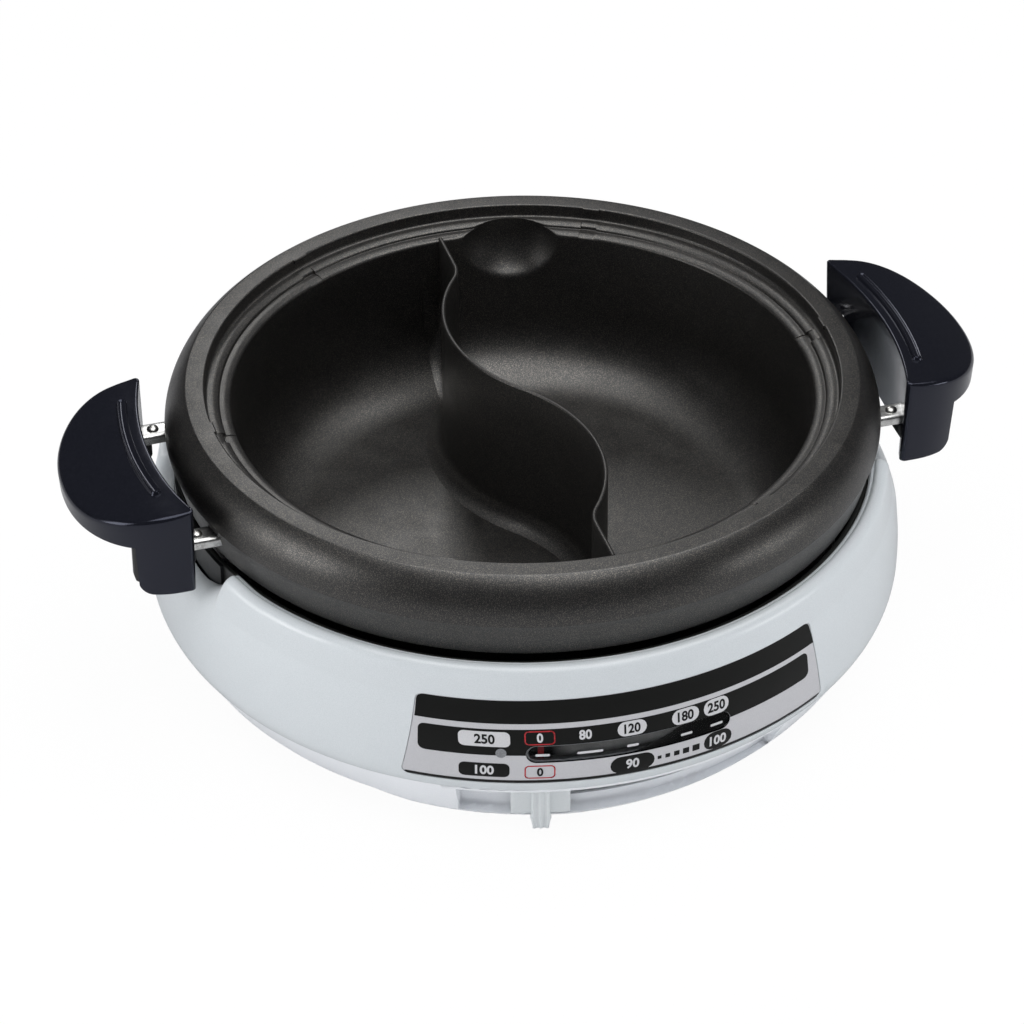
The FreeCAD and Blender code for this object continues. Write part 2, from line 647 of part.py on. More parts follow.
def pan_casting():
    start, middle, end = fillet_points(0)
    under, under_mid, under_end = fillet_points(PAN_WALL)
    shelf_2 = LEDGE_2_Z - PAN_WALL
    shelf_1 = LEDGE_1_Z - PAN_WALL
    ring_under = RING_TOP_Z - RING_THICK
    swell = apron_swell(0)
    swell_in = apron_swell(APRON_WALL)
    edge_in_r = APRON_EDGE_R - APRON_WALL
    return lathe(
        (0, FLOOR_Z), start, middle + end, (LEDGE_2_R, LEDGE_2_Z),
        (LEDGE_1_R, LEDGE_2_Z), (LEDGE_1_R, LEDGE_1_Z),
        (RING_IN_R, LEDGE_1_Z), (RING_IN_R, RING_TOP_Z),
        (RING_OUT_R - RING_EDGE_CHAMFER, RING_TOP_Z),
        (RING_OUT_R, RING_TOP_Z - RING_EDGE_CHAMFER),
        swell + (APRON_R, CREASE_Z), (APRON_EDGE_R, APRON_EDGE_Z),
        (edge_in_r, APRON_EDGE_Z), (APRON_R - APRON_WALL, CREASE_Z),
        swell_in + (RING_OUT_R - APRON_WALL, ring_under),
        (RING_IN_R + PAN_WALL, ring_under), (RING_IN_R + PAN_WALL, shelf_1),
        (LEDGE_1_R + PAN_WALL, shelf_1), (LEDGE_1_R + PAN_WALL, shelf_2),
        (wall_r(shelf_2, PAN_WALL), shelf_2), under_end, under_mid + under,
        (0, under[1]))


def lug():
    return cyl(LUG_X, BRACKET_Y, BRACKET_TOP_Z, RING_TOP_Z - RING_THICK / 2, LUG_R)


def notch():
    half = NOTCH_WIDTH / 2
    low = box((LEDGE_2_R - 4, LEDGE_2_R + NOTCH_DEPTH_R), (-half, half),
              (LEDGE_2_Z - NOTCH_DEPTH_R, RING_TOP_Z - LEDGE_1_DROP / 2))
    high = box((LEDGE_1_R - 1, LEDGE_1_R + NOTCH_DEPTH_R), (-half, half),
               (LEDGE_2_Z, LEDGE_1_Z + 1))
    return low.fuse(high)


def ring_tab():
    half = NOTCH_WIDTH / 2
    return box((RING_IN_R - TAB_REACH, RING_IN_R + 2), (-half, half),
               (RING_TOP_Z - TAB_THICK, RING_TOP_Z))


def front_and_rear(shape):
    """The shape at +Y and its mirror image at -Y."""
    return [shape, shape.mirror(V(0, 0, 0), V(0, 1, 0))]


def at_four_corners(shape):
    """The shape at +X +Y, and its mirror images in the other three quarters."""
    return front_and_rear(shape) + front_and_rear(mirror_x(shape))


def divided_pan():
    bulge = scoop_ball(SCOOP_R + SCOOP_WALL).cut(pan_cavity(PAN_WALL / 2, 2 * RING_TOP_Z))
    bulge = bulge.common(cyl(0, 0, FLOOR_Z, LEDGE_1_Z - PAN_WALL / 2, RING_IN_R + PAN_WALL / 2))
    hollow = pan_cavity(PAN_WALL / 2, DIVIDER_TOP_Z)
    additions = [divider_wall().common(hollow), divider_foot().common(hollow), bulge]
    additions += at_four_corners(lug()) + spread(ring_tab(), NOTCH_COUNT)
    pan = pan_casting()
    for addition in additions:
        pan = pan.fuse(addition)
    pan = pan.removeSplitter()
    cuts = [scoop_ball(SCOOP_R)] + spread(notch(), NOTCH_COUNT)
    grow = SEAT_GAP + RUN_FIT
    slot = box((LUG_X + LUG_R, APRON_R + 5),
               (BRACKET_Y - BRACKET_WIDTH / 2 - grow, BRACKET_Y + BRACKET_WIDTH / 2 + grow),
               (BRACKET_TOP_Z - BRACKET_FLANGE - grow, BRACKET_TOP_Z + grow))
    cuts += at_four_corners(slot)
    cuts += at_four_corners(cyl(LUG_X, BRACKET_Y, BRACKET_TOP_Z - 5, BRACKET_TOP_Z + BOLT_BITE + 1,
                                BOLT_R))
    for cutter in cuts:
        pan = pan.cut(cutter)
    return pan


# ================================================================ brackets
def bracket():
    """Channel of sheet steel, open downwards, from the pan's lug into the handle."""
    low_z = BRACKET_TOP_Z - BRACKET_FLANGE
    half = BRACKET_WIDTH / 2
    body = box((BRACKET_IN_X, BRACKET_OUT_X), (BRACKET_Y - half, BRACKET_Y + half),
               (low_z, BRACKET_TOP_Z))
    hollow = box((BRACKET_IN_X - 1, BRACKET_OUT_X + 1),
                 (BRACKET_Y - half + BRACKET_SHEET, BRACKET_Y + half - BRACKET_SHEET),
                 (low_z - 1, BRACKET_TOP_Z - BRACKET_SHEET))
    body = body.cut(hollow)
    places = ((LUG_X, BRACKET_Y, BOLT_R), (RIVET_X, BRACKET_Y, RIVET_R),
              (HANDLE_BOSS_X, HANDLE_BOSS_Y, BOLT_R))
    for x, y, radius in places:
        body = body.cut(cyl(x, y, low_z, BRACKET_TOP_Z + 1, radius))
    inside = cyl(HANDLE_CENTRE_X, 0, low_z - 1, BRACKET_TOP_Z + 1, HANDLE_R - HANDLE_WALL - SEAT_GAP)
    beyond = box((HANDLE_CENTRE_X, BRACKET_OUT_X + 1), (0, 2 * HANDLE_R), (low_z - 1, BRACKET_TOP_Z + 1))
    return body.cut(beyond.cut(inside)).removeSplitter()


def bolt_from_below(x, y):
    """Shank up through the bracket into its lug or boss, round head below."""
    under = BRACKET_TOP_Z - BRACKET_SHEET
    shank = cyl(x, y, under - BOLT_HEAD / 2, BRACKET_TOP_Z + BOLT_BITE, BOLT_R)
    head = cyl(x, y, under - BOLT_HEAD, under, BOLT_HEAD_R)
    return shank.fuse(head).removeSplitter()


def rivet():
    """Domed head on top of the bracket, closed by a flat head below."""
    under = BRACKET_TOP_Z - BRACKET_SHEET
    dome_r = (RIVET_HEAD_R ** 2 + RIVET_HEAD ** 2) / (2 * RIVET_HEAD)
    dome = Part.makeSphere(dome_r, V(RIVET_X, BRACKET_Y, BRACKET_TOP_Z + RIVET_HEAD - dome_r))
    dome = dome.common(cyl(RIVET_X, BRACKET_Y, BRACKET_TOP_Z, BRACKET_TOP_Z + dome_r, dome_r))
    shank = cyl(RIVET_X, BRACKET_Y, under - 1, BRACKET_TOP_Z + 1, RIVET_R)
    tail = cyl(RIVET_X, BRACKET_Y, under - 1.2, under, RIVET_HEAD_R * 0.8)
    return fuse_all([dome, shank, tail])


# ================================================================ handles
def handle_slope(lower):
    """Everything under the sloping top face, moved down by lower."""
    inner_x = HANDLE_CENTRE_X
    outer_x = HANDLE_CENTRE_X + 2 * HANDLE_R
    base_z = HANDLE_LEG_Z - 10
    inner_top = HANDLE_TOP_Z - lower
    outer_top = inner_top - HANDLE_FALL * (outer_x - inner_x)
    face = rounded_face([(inner_x - HANDLE_R, -HANDLE_R, base_z), (outer_x, -HANDLE_R, base_z),
                         (outer_x, -HANDLE_R, outer_top), (inner_x, -HANDLE_R, inner_top),
                         (inner_x - HANDLE_R, -HANDLE_R, inner_top)], [0] * 5)
    return face.extrude(V(0, 2 * HANDLE_R, 0))


def handle_block(inset, inner_r, z_low, z_high):
    """D-shaped prism: the handle's circle, hollowed by a circle round the pan."""
    disc = cyl(HANDLE_CENTRE_X, 0, z_low, z_high, HANDLE_R - inset)
    return disc.cut(cyl(0, 0, z_low - 1, z_high + 1, inner_r))


def leg_region(outer_x, corner):
    """Side view of the legs, drawn across the whole handle."""
    points = [(HANDLE_CENTRE_X - 5, -2 * HANDLE_R, HANDLE_LEG_Z),
              (outer_x, -2 * HANDLE_R, HANDLE_LEG_Z),
              (outer_x, -2 * HANDLE_R, HANDLE_RIM_Z + 4),
              (HANDLE_CENTRE_X - 5, -2 * HANDLE_R, HANDLE_RIM_Z + 4)]
    return rounded_face(points, [0, corner, 0, 0]).extrude(V(0, 4 * HANDLE_R, 0))


def thumb_rib():
    """Low curved rib on the top face, near its inner edge."""
    half = THUMB_RIB_WIDTH / 2
    arc = band(THUMB_RIB_R - half, THUMB_RIB_R + half, HANDLE_RIM_Z + 10, HANDLE_TOP_Z + 10,
               -THUMB_RIB_HALF_DEG, THUMB_RIB_HALF_DEG)
    ends = [cyl(p.x, p.y, HANDLE_RIM_Z + 10, HANDLE_TOP_Z + 10, half)
            for p in (polar(THUMB_RIB_R, -THUMB_RIB_HALF_DEG), polar(THUMB_RIB_R, THUMB_RIB_HALF_DEG))]
    rib = fuse_all([arc] + ends)
    return rib.common(handle_slope(-THUMB_RIB_RISE)).cut(handle_slope(HANDLE_TOP_WALL / 2))


def top_outer_edges(shape):
    """Edges where the sloping top face meets the handle's outer wall."""
    chosen = []
    for edge in shape.Edges:
        centre = edge.CenterOfMass
        slope_z = HANDLE_TOP_Z - HANDLE_FALL * (centre.x - HANDLE_CENTRE_X)
        on_top = abs(centre.z - slope_z) < 0.6
        mid = edge.valueAt((edge.FirstParameter + edge.LastParameter) / 2)
        on_rim = abs(math.hypot(mid.x - HANDLE_CENTRE_X, mid.y) - HANDLE_R) < 0.01
        if on_top and on_rim:
            chosen.append(edge)
    return chosen


def handle_shell():
    """Top plate, rim, inner skirt and legs of the right-hand handle, moulded in one."""
    body = handle_block(0, HANDLE_PAN_R, HANDLE_RIM_Z, HANDLE_TOP_Z + 1).common(handle_slope(0))
    body = body.makeFillet(HANDLE_EDGE_R, top_outer_edges(body))
    hollow = handle_block(HANDLE_WALL, HANDLE_PAN_R + HANDLE_WALL, HANDLE_RIM_Z - 1, HANDLE_TOP_Z)
    body = body.cut(hollow.common(handle_slope(HANDLE_TOP_WALL)))
    legs = handle_block(0, HANDLE_PAN_R, HANDLE_LEG_Z, HANDLE_RIM_Z + 4)
    legs = legs.cut(cyl(HANDLE_CENTRE_X, 0, HANDLE_LEG_Z - 1, HANDLE_RIM_Z + 5,
                        HANDLE_R - HANDLE_WALL))
    legs = legs.common(leg_region(HANDLE_LEG_X, HANDLE_LEG_CORNER))
    boss = cyl(HANDLE_BOSS_X, HANDLE_BOSS_Y, BRACKET_TOP_Z, HANDLE_TOP_Z, HANDLE_BOSS_R)
    boss = boss.common(handle_slope(HANDLE_TOP_WALL / 2))
    leg_end_x = math.sqrt(HANDLE_PAN_R ** 2 - BRACKET_Y ** 2)
    block_top = BRACKET_TOP_Z - BRACKET_FLANGE
    block = box((leg_end_x - LEG_BLOCK_IN, leg_end_x + LEG_BLOCK_OUT),
                (BRACKET_Y - BRACKET_WIDTH / 2 + BRACKET_SHEET, HANDLE_R),
                (block_top - LEG_BLOCK_HEIGHT, block_top))
    block = block.common(cyl(HANDLE_CENTRE_X, 0, HANDLE_LEG_Z, HANDLE_RIM_Z, HANDLE_R - HANDLE_WALL / 2))
    pilot = cyl(HANDLE_BOSS_X, HANDLE_BOSS_Y, BRACKET_TOP_Z - 4, BRACKET_TOP_Z + BOLT_BITE + 1, BOLT_R)
    driver = cyl(HANDLE_BOSS_X, HANDLE_BOSS_Y, HANDLE_LEG_Z, BRACKET_TOP_Z - BRACKET_SHEET,
                 BOLT_HEAD_R + AIR_GAP)
    block = block.cut(driver)
    shell = fuse_all([body, legs, thumb_rib()] + front_and_rear(boss) + front_and_rear(block))
    for cutter in front_and_rear(pilot):
        shell = shell.cut(cutter)
    return shell.removeSplitter()


def handle_cover():
    """Closing plate inside the rim, with a liner behind each leg."""
    inset = HANDLE_WALL + SEAT_GAP
    inner_r = HANDLE_PAN_R + HANDLE_WALL + SEAT_GAP
    plate_z = HANDLE_RIM_Z + 1.0
    plate = handle_block(inset, inner_r, plate_z, plate_z + COVER_WALL)
    liners = handle_block(inset, inner_r, HANDLE_LEG_Z + 2, plate_z + COVER_WALL)
    liners = liners.cut(cyl(HANDLE_CENTRE_X, 0, HANDLE_LEG_Z, HANDLE_RIM_Z + 10,
                            HANDLE_R - inset - COVER_WALL))
    liners = liners.common(leg_region(HANDLE_LEG_X + COVER_STRIP, HANDLE_LEG_CORNER))
    cover = plate.fuse(liners)
    tunnel = box((HANDLE_CENTRE_X - 10, BRACKET_OUT_X + AIR_GAP),
                 (BRACKET_Y - BRACKET_WIDTH / 2 - AIR_GAP, HANDLE_R),
                 (BRACKET_TOP_Z - BRACKET_FLANGE - LEG_BLOCK_HEIGHT - SEAT_GAP,
                  BRACKET_TOP_Z + AIR_GAP))
    well = cyl(HANDLE_BOSS_X, HANDLE_BOSS_Y, HANDLE_LEG_Z, HANDLE_TOP_Z, HANDLE_BOSS_R + AIR_GAP)
    for cutter in front_and_rear(tunnel) + front_and_rear(well):
        cover = cover.cut(cutter)
    return cover.removeSplitter()


# ================================================================ base casing
def casing_body(inset, top_z, low_z):
    """Solid of the base's outer form, its skin moved inwards by inset."""
    flank = ((PARTING_R + BELLY_R) / 2 + 1.0, (PARTING_Z + BELLY_Z) / 2 - 6.0)
    belly = (BELLY_R - 0.1, BELLY_Z - 9.0)
    upper = (BELLY_R - 0.9, (BELLY_Z + SHOULDER_Z) / 2 - 2.0)
    neck = ((SHOULDER_R + LIP_R) / 2 + 0.6, (SHOULDER_Z + LIP_Z) / 2 + 0.6)
    crown = ((LIP_R + LIP_TOP_R) / 2 + 0.5, (LIP_Z + LIP_TOP_Z) / 2 + 0.6)

    def move(point):
        return (point[0] - inset, point[1])

    def lift(point):
        return (point[0] - inset, point[1] - max(inset, 0))

    return lathe(
        (0, low_z), (PARTING_R - inset, low_z), (PARTING_R - inset, PARTING_Z),
        move(flank) + move(belly), move(upper) + move((SHOULDER_R, SHOULDER_Z)),
        move(neck) + lift((LIP_R, LIP_Z)), lift(crown) + lift((LIP_TOP_R, LIP_TOP_Z)),
        (0, top_z - max(inset, 0)))


def saddle_cutter(grow):
    """Prism along X that lowers the lip under both handles."""
    top = LIP_TOP_Z + SADDLE_SKIM - grow
    low = SADDLE_Z - grow
    half_top = SADDLE_HALF_TOP + grow
    half_foot = SADDLE_HALF_FOOT + grow
    wide = half_top + 3 * SADDLE_CORNER
    x = -BELLY_R - 5
    high = LIP_TOP_Z + 10
    points = [(x, -wide, high), (x, -wide, top), (x, -half_top, top), (x, -half_foot, low),
              (x, half_foot, low), (x, half_top, top), (x, wide, top), (x, wide, high)]
    outer = SADDLE_CORNER - grow / 2
    inner = SADDLE_CORNER - grow / 2
    radii = [0, 0, outer, inner, inner, outer, 0, 0]
    return rounded_face(points, radii).extrude(V(2 * (BELLY_R + 5), 0, 0))


def panel_outline(shrink):
    """Front view of the panel, as a prism through the front of the casing."""
    top = PANEL_TOP_Z - shrink
    low = PANEL_FOOT_Z + shrink
    half_top = PANEL_HALF_TOP - shrink
    half_low = PANEL_HALF_FOOT - shrink
    y = -BELLY_R - 10
    points = [(-half_low, y, low), (half_low, y, low), (half_top, y, top), (-half_top, y, top)]
    return rounded_face(points, [PANEL_CORNER - shrink] * 4).extrude(V(0, BELLY_R, 0))


def window_outline(shrink):
    """Slot with round ends, as a prism through the front of the casing."""
    radius = WINDOW_HALF_HEIGHT - shrink
    low = WINDOW_Z - radius
    high = WINDOW_Z + radius
    left = WINDOW_LEFT_X + shrink
    right = WINDOW_RIGHT_X - shrink
    y = -BELLY_R - 10
    points = [(left, y, low), (right, y, low), (right, y, high), (left, y, high)]
    return rounded_face(points, [radius * 0.999] * 4).extrude(V(0, BELLY_R, 0))


def skin(inset_out, inset_in, low_z=PANEL_FOOT_Z - 6):
    """Layer of the casing's skin between two depths."""
    outer = casing_body(inset_out, LIP_TOP_Z, PARTING_Z)
    inner = casing_body(inset_in, LIP_TOP_Z, PARTING_Z)
    layer = outer.cut(inner)
    return layer.common(box((-BELLY_R - 9, BELLY_R + 9), (-BELLY_R - 9, 0), (low_z, LIP_Z - 6)))


def lens_rod(radius, r_in, r_out):
    """Short round bar that points outwards through the panel at the lamp."""
    foot = polar(r_in, front_deg(LAMP_DEG), WINDOW_Z)
    out = polar(1.0, front_deg(LAMP_DEG))
    return Part.makeCylinder(radius, r_out - r_in, foot, out)


def post_places():
    return [(polar(POST_CIRCLE_R, 45.0 + 360.0 * i / POST_COUNT), 45.0 + 360.0 * i / POST_COUNT)
            for i in range(POST_COUNT)]


def inlet_opening(grow):
    half_x = INLET_HALF_WIDTH + grow
    half_z = INLET_HALF_HEIGHT + grow
    y = INLET_BACK_Y
    points = [(-half_x, y, INLET_Z - half_z), (half_x, y, INLET_Z - half_z),
              (half_x, y, INLET_Z + half_z), (-half_x, y, INLET_Z + half_z)]
    return rounded_face(points, [3.0 + grow] * 4).extrude(V(0, BELLY_R - y + 10, 0))


def upper_casing():
    outer = casing_body(0, LIP_TOP_Z, PARTING_Z).cut(saddle_cutter(0))
    hollow = casing_body(CASING_WALL, LIP_TOP_Z, PARTING_Z - 1).cut(saddle_cutter(CASING_WALL))
    shell = outer.cut(hollow).cut(cyl(0, 0, PARTING_Z - 2, LIP_TOP_Z + 5, MOUTH_R))
    step = ring(MOUTH_R - 1, LIP_TOP_R, LIP_TOP_Z - LIP_STEP, LIP_TOP_Z + 5)
    shell = shell.cut(step)
    posts = []
    for place, degrees in post_places():
        posts.append(cyl(place.x, place.y, PARTING_Z, POST_TOP_Z, POST_R))
        rib = box((POST_CIRCLE_R, BELLY_R - CASING_WALL / 2), (-POST_RIB / 2, POST_RIB / 2),
                  (PARTING_Z + SPIGOT_HEIGHT + 1, POST_TOP_Z))
        posts.append(turned(rib, degrees).common(casing_body(CASING_WALL / 2, LIP_TOP_Z, PARTING_Z)))
    shell = fuse_all([shell] + posts)
    for place, _ in post_places():
        shell = shell.cut(cyl(place.x, place.y, PARTING_Z - 1, PARTING_Z + SCREW_BITE + 1,
                              SCREW_R))
    recess = skin(-4, PANEL_RECESS).common(panel_outline(0))
    shell = shell.cut(recess)
    shell = shell.cut(window_outline(WINDOW_LAND).common(skin(-4, CASING_WALL + 2)))
    shell = shell.cut(lens_rod(LENS_R + RUN_FIT, LENS_INNER_R, BELLY_R + 5))
    return shell.cut(inlet_opening(SEAT_GAP)).removeSplitter()


def control_panel():
    plate = skin(PANEL_SINK, PANEL_RECESS).common(panel_outline(SEAT_GAP))
    plate = plate.cut(window_outline(0))
    return plate.cut(lens_rod(LENS_R + RUN_FIT, LENS_INNER_R, BELLY_R + 5)).removeSplitter()


def panel_window():
    pane = skin(PANEL_SINK + 0.1, PANEL_RECESS).common(window_outline(SEAT_GAP / 2))
    return pane.removeSplitter()


def scale_strip():
    """Pale curved channel behind the pointer, held by a block at each end."""
    start = front_deg(LEVER_OFF_DEG - STRIP_SPARE_DEG)
    end = front_deg(LEVER_HIGH_DEG + STRIP_SPARE_DEG)
    low = WINDOW_Z - STRIP_HALF_HEIGHT
    high = WINDOW_Z + STRIP_HALF_HEIGHT
    parts = [band(STRIP_R, STRIP_R + STRIP_WALL, low, high, start, end)]
    for first in (start, end - STRIP_END_DEG):
        parts.append(band(STRIP_R, BELLY_R, low, high, first, first + STRIP_END_DEG))
    strip = fuse_all(parts)
    return strip.common(casing_body(CASING_WALL + RUN_FIT, LIP_TOP_Z, PARTING_Z)) \
        .cut(lens_rod(LENS_R + SEAT_GAP, STRIP_R - 10, BELLY_R))


def lamp_lens():
    skin_r = BELLY_R - PANEL_SINK
    return lens_rod(LENS_R, LENS_INNER_R, skin_r + 4).common(
        casing_body(PANEL_SINK - 0.2, LIP_TOP_Z, PARTING_Z))


def pilot_lamp():
    body = lens_rod(LAMP_R, LENS_INNER_R - LAMP_LENGTH, LENS_INNER_R)
    return body


# ================================================================ bottom cover and feet
def cover_body(inset, low_z, top_z):
    """Solid of the lower casing's outer form."""
    corner = (CASING_FOOT_R - 1.4 - inset, CASING_BOTTOM_Z + 1.3)
    return lathe((0, low_z), (CASING_BOTTOM_R - inset, low_z),
                 corner + (CASING_FOOT_R - inset, CASING_BOTTOM_Z + CASING_FOOT_RISE),
                 (PARTING_R - inset, top_z), (0, top_z))


def track_box(r_in, r_out, z_low, z_high, extra_deg=0.0):
    half = TRACK_HALF_DEG + extra_deg
    return band(r_in, r_out, z_low, z_high, front_deg(-half), front_deg(half))


def foot_places():
    return [polar(FOOT_CIRCLE_R, 45.0 + 360.0 * i / FOOT_COUNT) for i in range(FOOT_COUNT)]


def bottom_cover():
    dish = cover_body(0, CASING_BOTTOM_Z, PARTING_Z)
    dish = dish.cut(cover_body(CASING_WALL, COVER_FLOOR_Z, PARTING_Z + 1))
    spigot_out = PARTING_R - CASING_WALL - SEAT_GAP
    spigot = ring(spigot_out - SPIGOT_WALL, spigot_out, PARTING_Z - 3, PARTING_Z + SPIGOT_HEIGHT)
    support = ring(spigot_out - SPIGOT_WALL, PARTING_R - 1, PARTING_Z - 3, PARTING_Z)
    track = track_box(TRACK_R - CASING_WALL, spigot_out, CASING_BOTTOM_Z, PARTING_Z, 0.8)
    parts = [dish, spigot, support, track.common(cover_body(0.5, CASING_BOTTOM_Z, PARTING_Z))]
    for place, _ in post_places():
        parts.append(cyl(place.x, place.y, CASING_BOTTOM_Z, PARTING_Z, POST_R + 0.6))
    for degrees in INNER_POST_DEGS:
        place = polar(INNER_POST_CIRCLE_R, degrees)
        parts.append(cyl(place.x, place.y, CASING_BOTTOM_Z, SHIELD_Z, POST_R))
    parts.append(cyl(0, 0, CASING_BOTTOM_Z, COVER_FLOOR_Z + SPINDLE_BOSS_HEIGHT, SPINDLE_BOSS_R))
    cover = fuse_all(parts)
    cuts = [track_box(TRACK_R, BELLY_R, COVER_FLOOR_Z, TRACK_ROOF_Z)]
    arm_half = math.degrees((ARM_WIDTH / 2 + 2 * AIR_GAP) / TRACK_R)
    cuts.append(band(TRACK_R - 8, TRACK_R + 1, ARM_Z - 1.2, ARM_Z + ARM_SHEET + 1.2,
                     front_deg(LEVER_OFF_DEG - arm_half), front_deg(LEVER_HIGH_DEG + arm_half)))
    cuts.append(cyl(0, 0, CASING_BOTTOM_Z + 1.5, COVER_FLOOR_Z + 10, SPINDLE_R + RUN_FIT))
    for place, _ in post_places():
        cuts.append(cyl(place.x, place.y, CASING_BOTTOM_Z - 1, PARTING_Z + 1, SCREW_R + SEAT_GAP))
        cuts.append(cyl(place.x, place.y, CASING_BOTTOM_Z - 1, CASING_BOTTOM_Z + SCREW_HEAD + SCREW_SINK,
                        SCREW_HEAD_R + SEAT_GAP))
    for degrees in INNER_POST_DEGS:
        place = polar(INNER_POST_CIRCLE_R, degrees)
        cuts.append(cyl(place.x, place.y, SHIELD_Z - SHIELD_SCREW_BITE - 1, SHIELD_Z + 1, SCREW_R))
    for place in foot_places():
        cuts.append(cyl(place.x, place.y, CASING_BOTTOM_Z - 1, COVER_FLOOR_Z + 1, FOOT_SPIGOT_R))
    vent = box((VENT_IN_R, VENT_OUT_R), (-VENT_WIDTH / 2, VENT_WIDTH / 2),
               (CASING_BOTTOM_Z - 1, COVER_FLOOR_Z + 1))
    cuts += spread(vent, VENT_COUNT, 180.0 / VENT_COUNT)
    return cover.cut(Part.makeCompound(cuts)).removeSplitter()


def rubber_feet():
    feet = []
    for place in foot_places():
        pad = cyl(place.x, place.y, 0, CASING_BOTTOM_Z, FOOT_R)
        pad = pad.makeChamfer(1.2, [edge for edge in pad.Edges
                                    if abs(edge.CenterOfMass.z) < 0.01 and edge.Closed])
        feet.append(pad.fuse(cyl(place.x, place.y, CASING_BOTTOM_Z - 1,
                                 CASING_BOTTOM_Z + FOOT_SPIGOT, FOOT_SPIGOT_R)).removeSplitter())
    return Part.makeCompound(feet)


def casing_screws():
    screws = []
    head_top = CASING_BOTTOM_Z + SCREW_HEAD + SCREW_SINK
    for place, _ in post_places():
        head = cyl(place.x, place.y, head_top - SCREW_HEAD, head_top, SCREW_HEAD_R)
        shank = cyl(place.x, place.y, head_top - 1, PARTING_Z + SCREW_BITE, SCREW_R)
        screws.append(head.fuse(shank).removeSplitter())
    return Part.makeCompound(screws)


def shield_screws():
    screws = []
    top = SHIELD_Z + SHEET
    for degrees in INNER_POST_DEGS:
        place = polar(INNER_POST_CIRCLE_R, degrees)
        head = cyl(place.x, place.y, top, top + SCREW_HEAD, SCREW_HEAD_R)
        shank = cyl(place.x, place.y, SHIELD_Z - SHIELD_SCREW_BITE, top + 1, SCREW_R)
        screws.append(head.fuse(shank).removeSplitter())
    return Part.makeCompound(screws)


# ================================================================ guard ring and shields
def guard_ring():
    """Dark ring inside the casing's mouth; its foot flange lies on the reflector's."""
    wall_in = GUARD_OUT_R - GUARD_WALL
    foot = GUARD_FOOT_Z + GUARD_WALL
    return lathe((GUARD_FOOT_R, GUARD_FOOT_Z), (GUARD_OUT_R, GUARD_FOOT_Z),
                 (GUARD_OUT_R, GUARD_TOP_Z), (wall_in, GUARD_TOP_Z), (wall_in, foot),
                 (GUARD_FOOT_R, foot))


def saddle_shield():
    """Grey curved plate that closes the saddle under the right-hand handle."""
    inner = GUARD_OUT_R + RUN_FIT
    return band(inner, inner + SADDLE_SHIELD_WALL, SADDLE_Z, SADDLE_SHIELD_TOP_Z,
                -SADDLE_SHIELD_HALF_DEG, SADDLE_SHIELD_HALF_DEG)


# ================================================================ heating
def terminal_holes(radius, z_low, z_high):
    return [cyl(side * ELEMENT_LEG_X, ELEMENT_LEG_Y, z_low, z_high, radius) for side in (-1, 1)]


def heat_shield():
    plate = cyl(0, 0, SHIELD_Z, SHIELD_Z + SHEET, SHIELD_R)
    plate = plate.cut(cyl(0, 0, SHIELD_Z - 1, SHIELD_Z + 2, COLLAR_R + AIR_GAP))
    for degrees in INNER_POST_DEGS:
        place = polar(INNER_POST_CIRCLE_R, degrees)
        plate = plate.cut(cyl(place.x, place.y, SHIELD_Z - 1, SHIELD_Z + 2, SCREW_R + RUN_FIT))
    for hole in terminal_holes(CERAMIC_R + AIR_GAP, SHIELD_Z - 1, SHIELD_Z + 2):
        plate = plate.cut(hole)
    return plate


def reflector_dish():
    low = REFLECTOR_Z
    flange = REFLECTOR_FLANGE_Z
    dish = lathe((SENSOR_HOLE_R, low), (REFLECTOR_FLOOR_R, low), (REFLECTOR_RIM_R, flange),
                 (REFLECTOR_FLANGE_R, flange), (REFLECTOR_FLANGE_R, flange + SHEET),
                 (REFLECTOR_RIM_R - SHEET, flange + SHEET), (REFLECTOR_FLOOR_R - SHEET, low + SHEET),
                 (SENSOR_HOLE_R, low + SHEET))
    for hole in terminal_holes(CERAMIC_R + SEAT_GAP, low - 1, low + 3):
        dish = dish.cut(hole)
    return dish


def shield_spacers():
    post = cyl(SPACER_CIRCLE_R, 0, SHIELD_Z + SHEET, REFLECTOR_Z, SPACER_R)
    return Part.makeCompound(spread(post, SPACER_COUNT, 30.0))


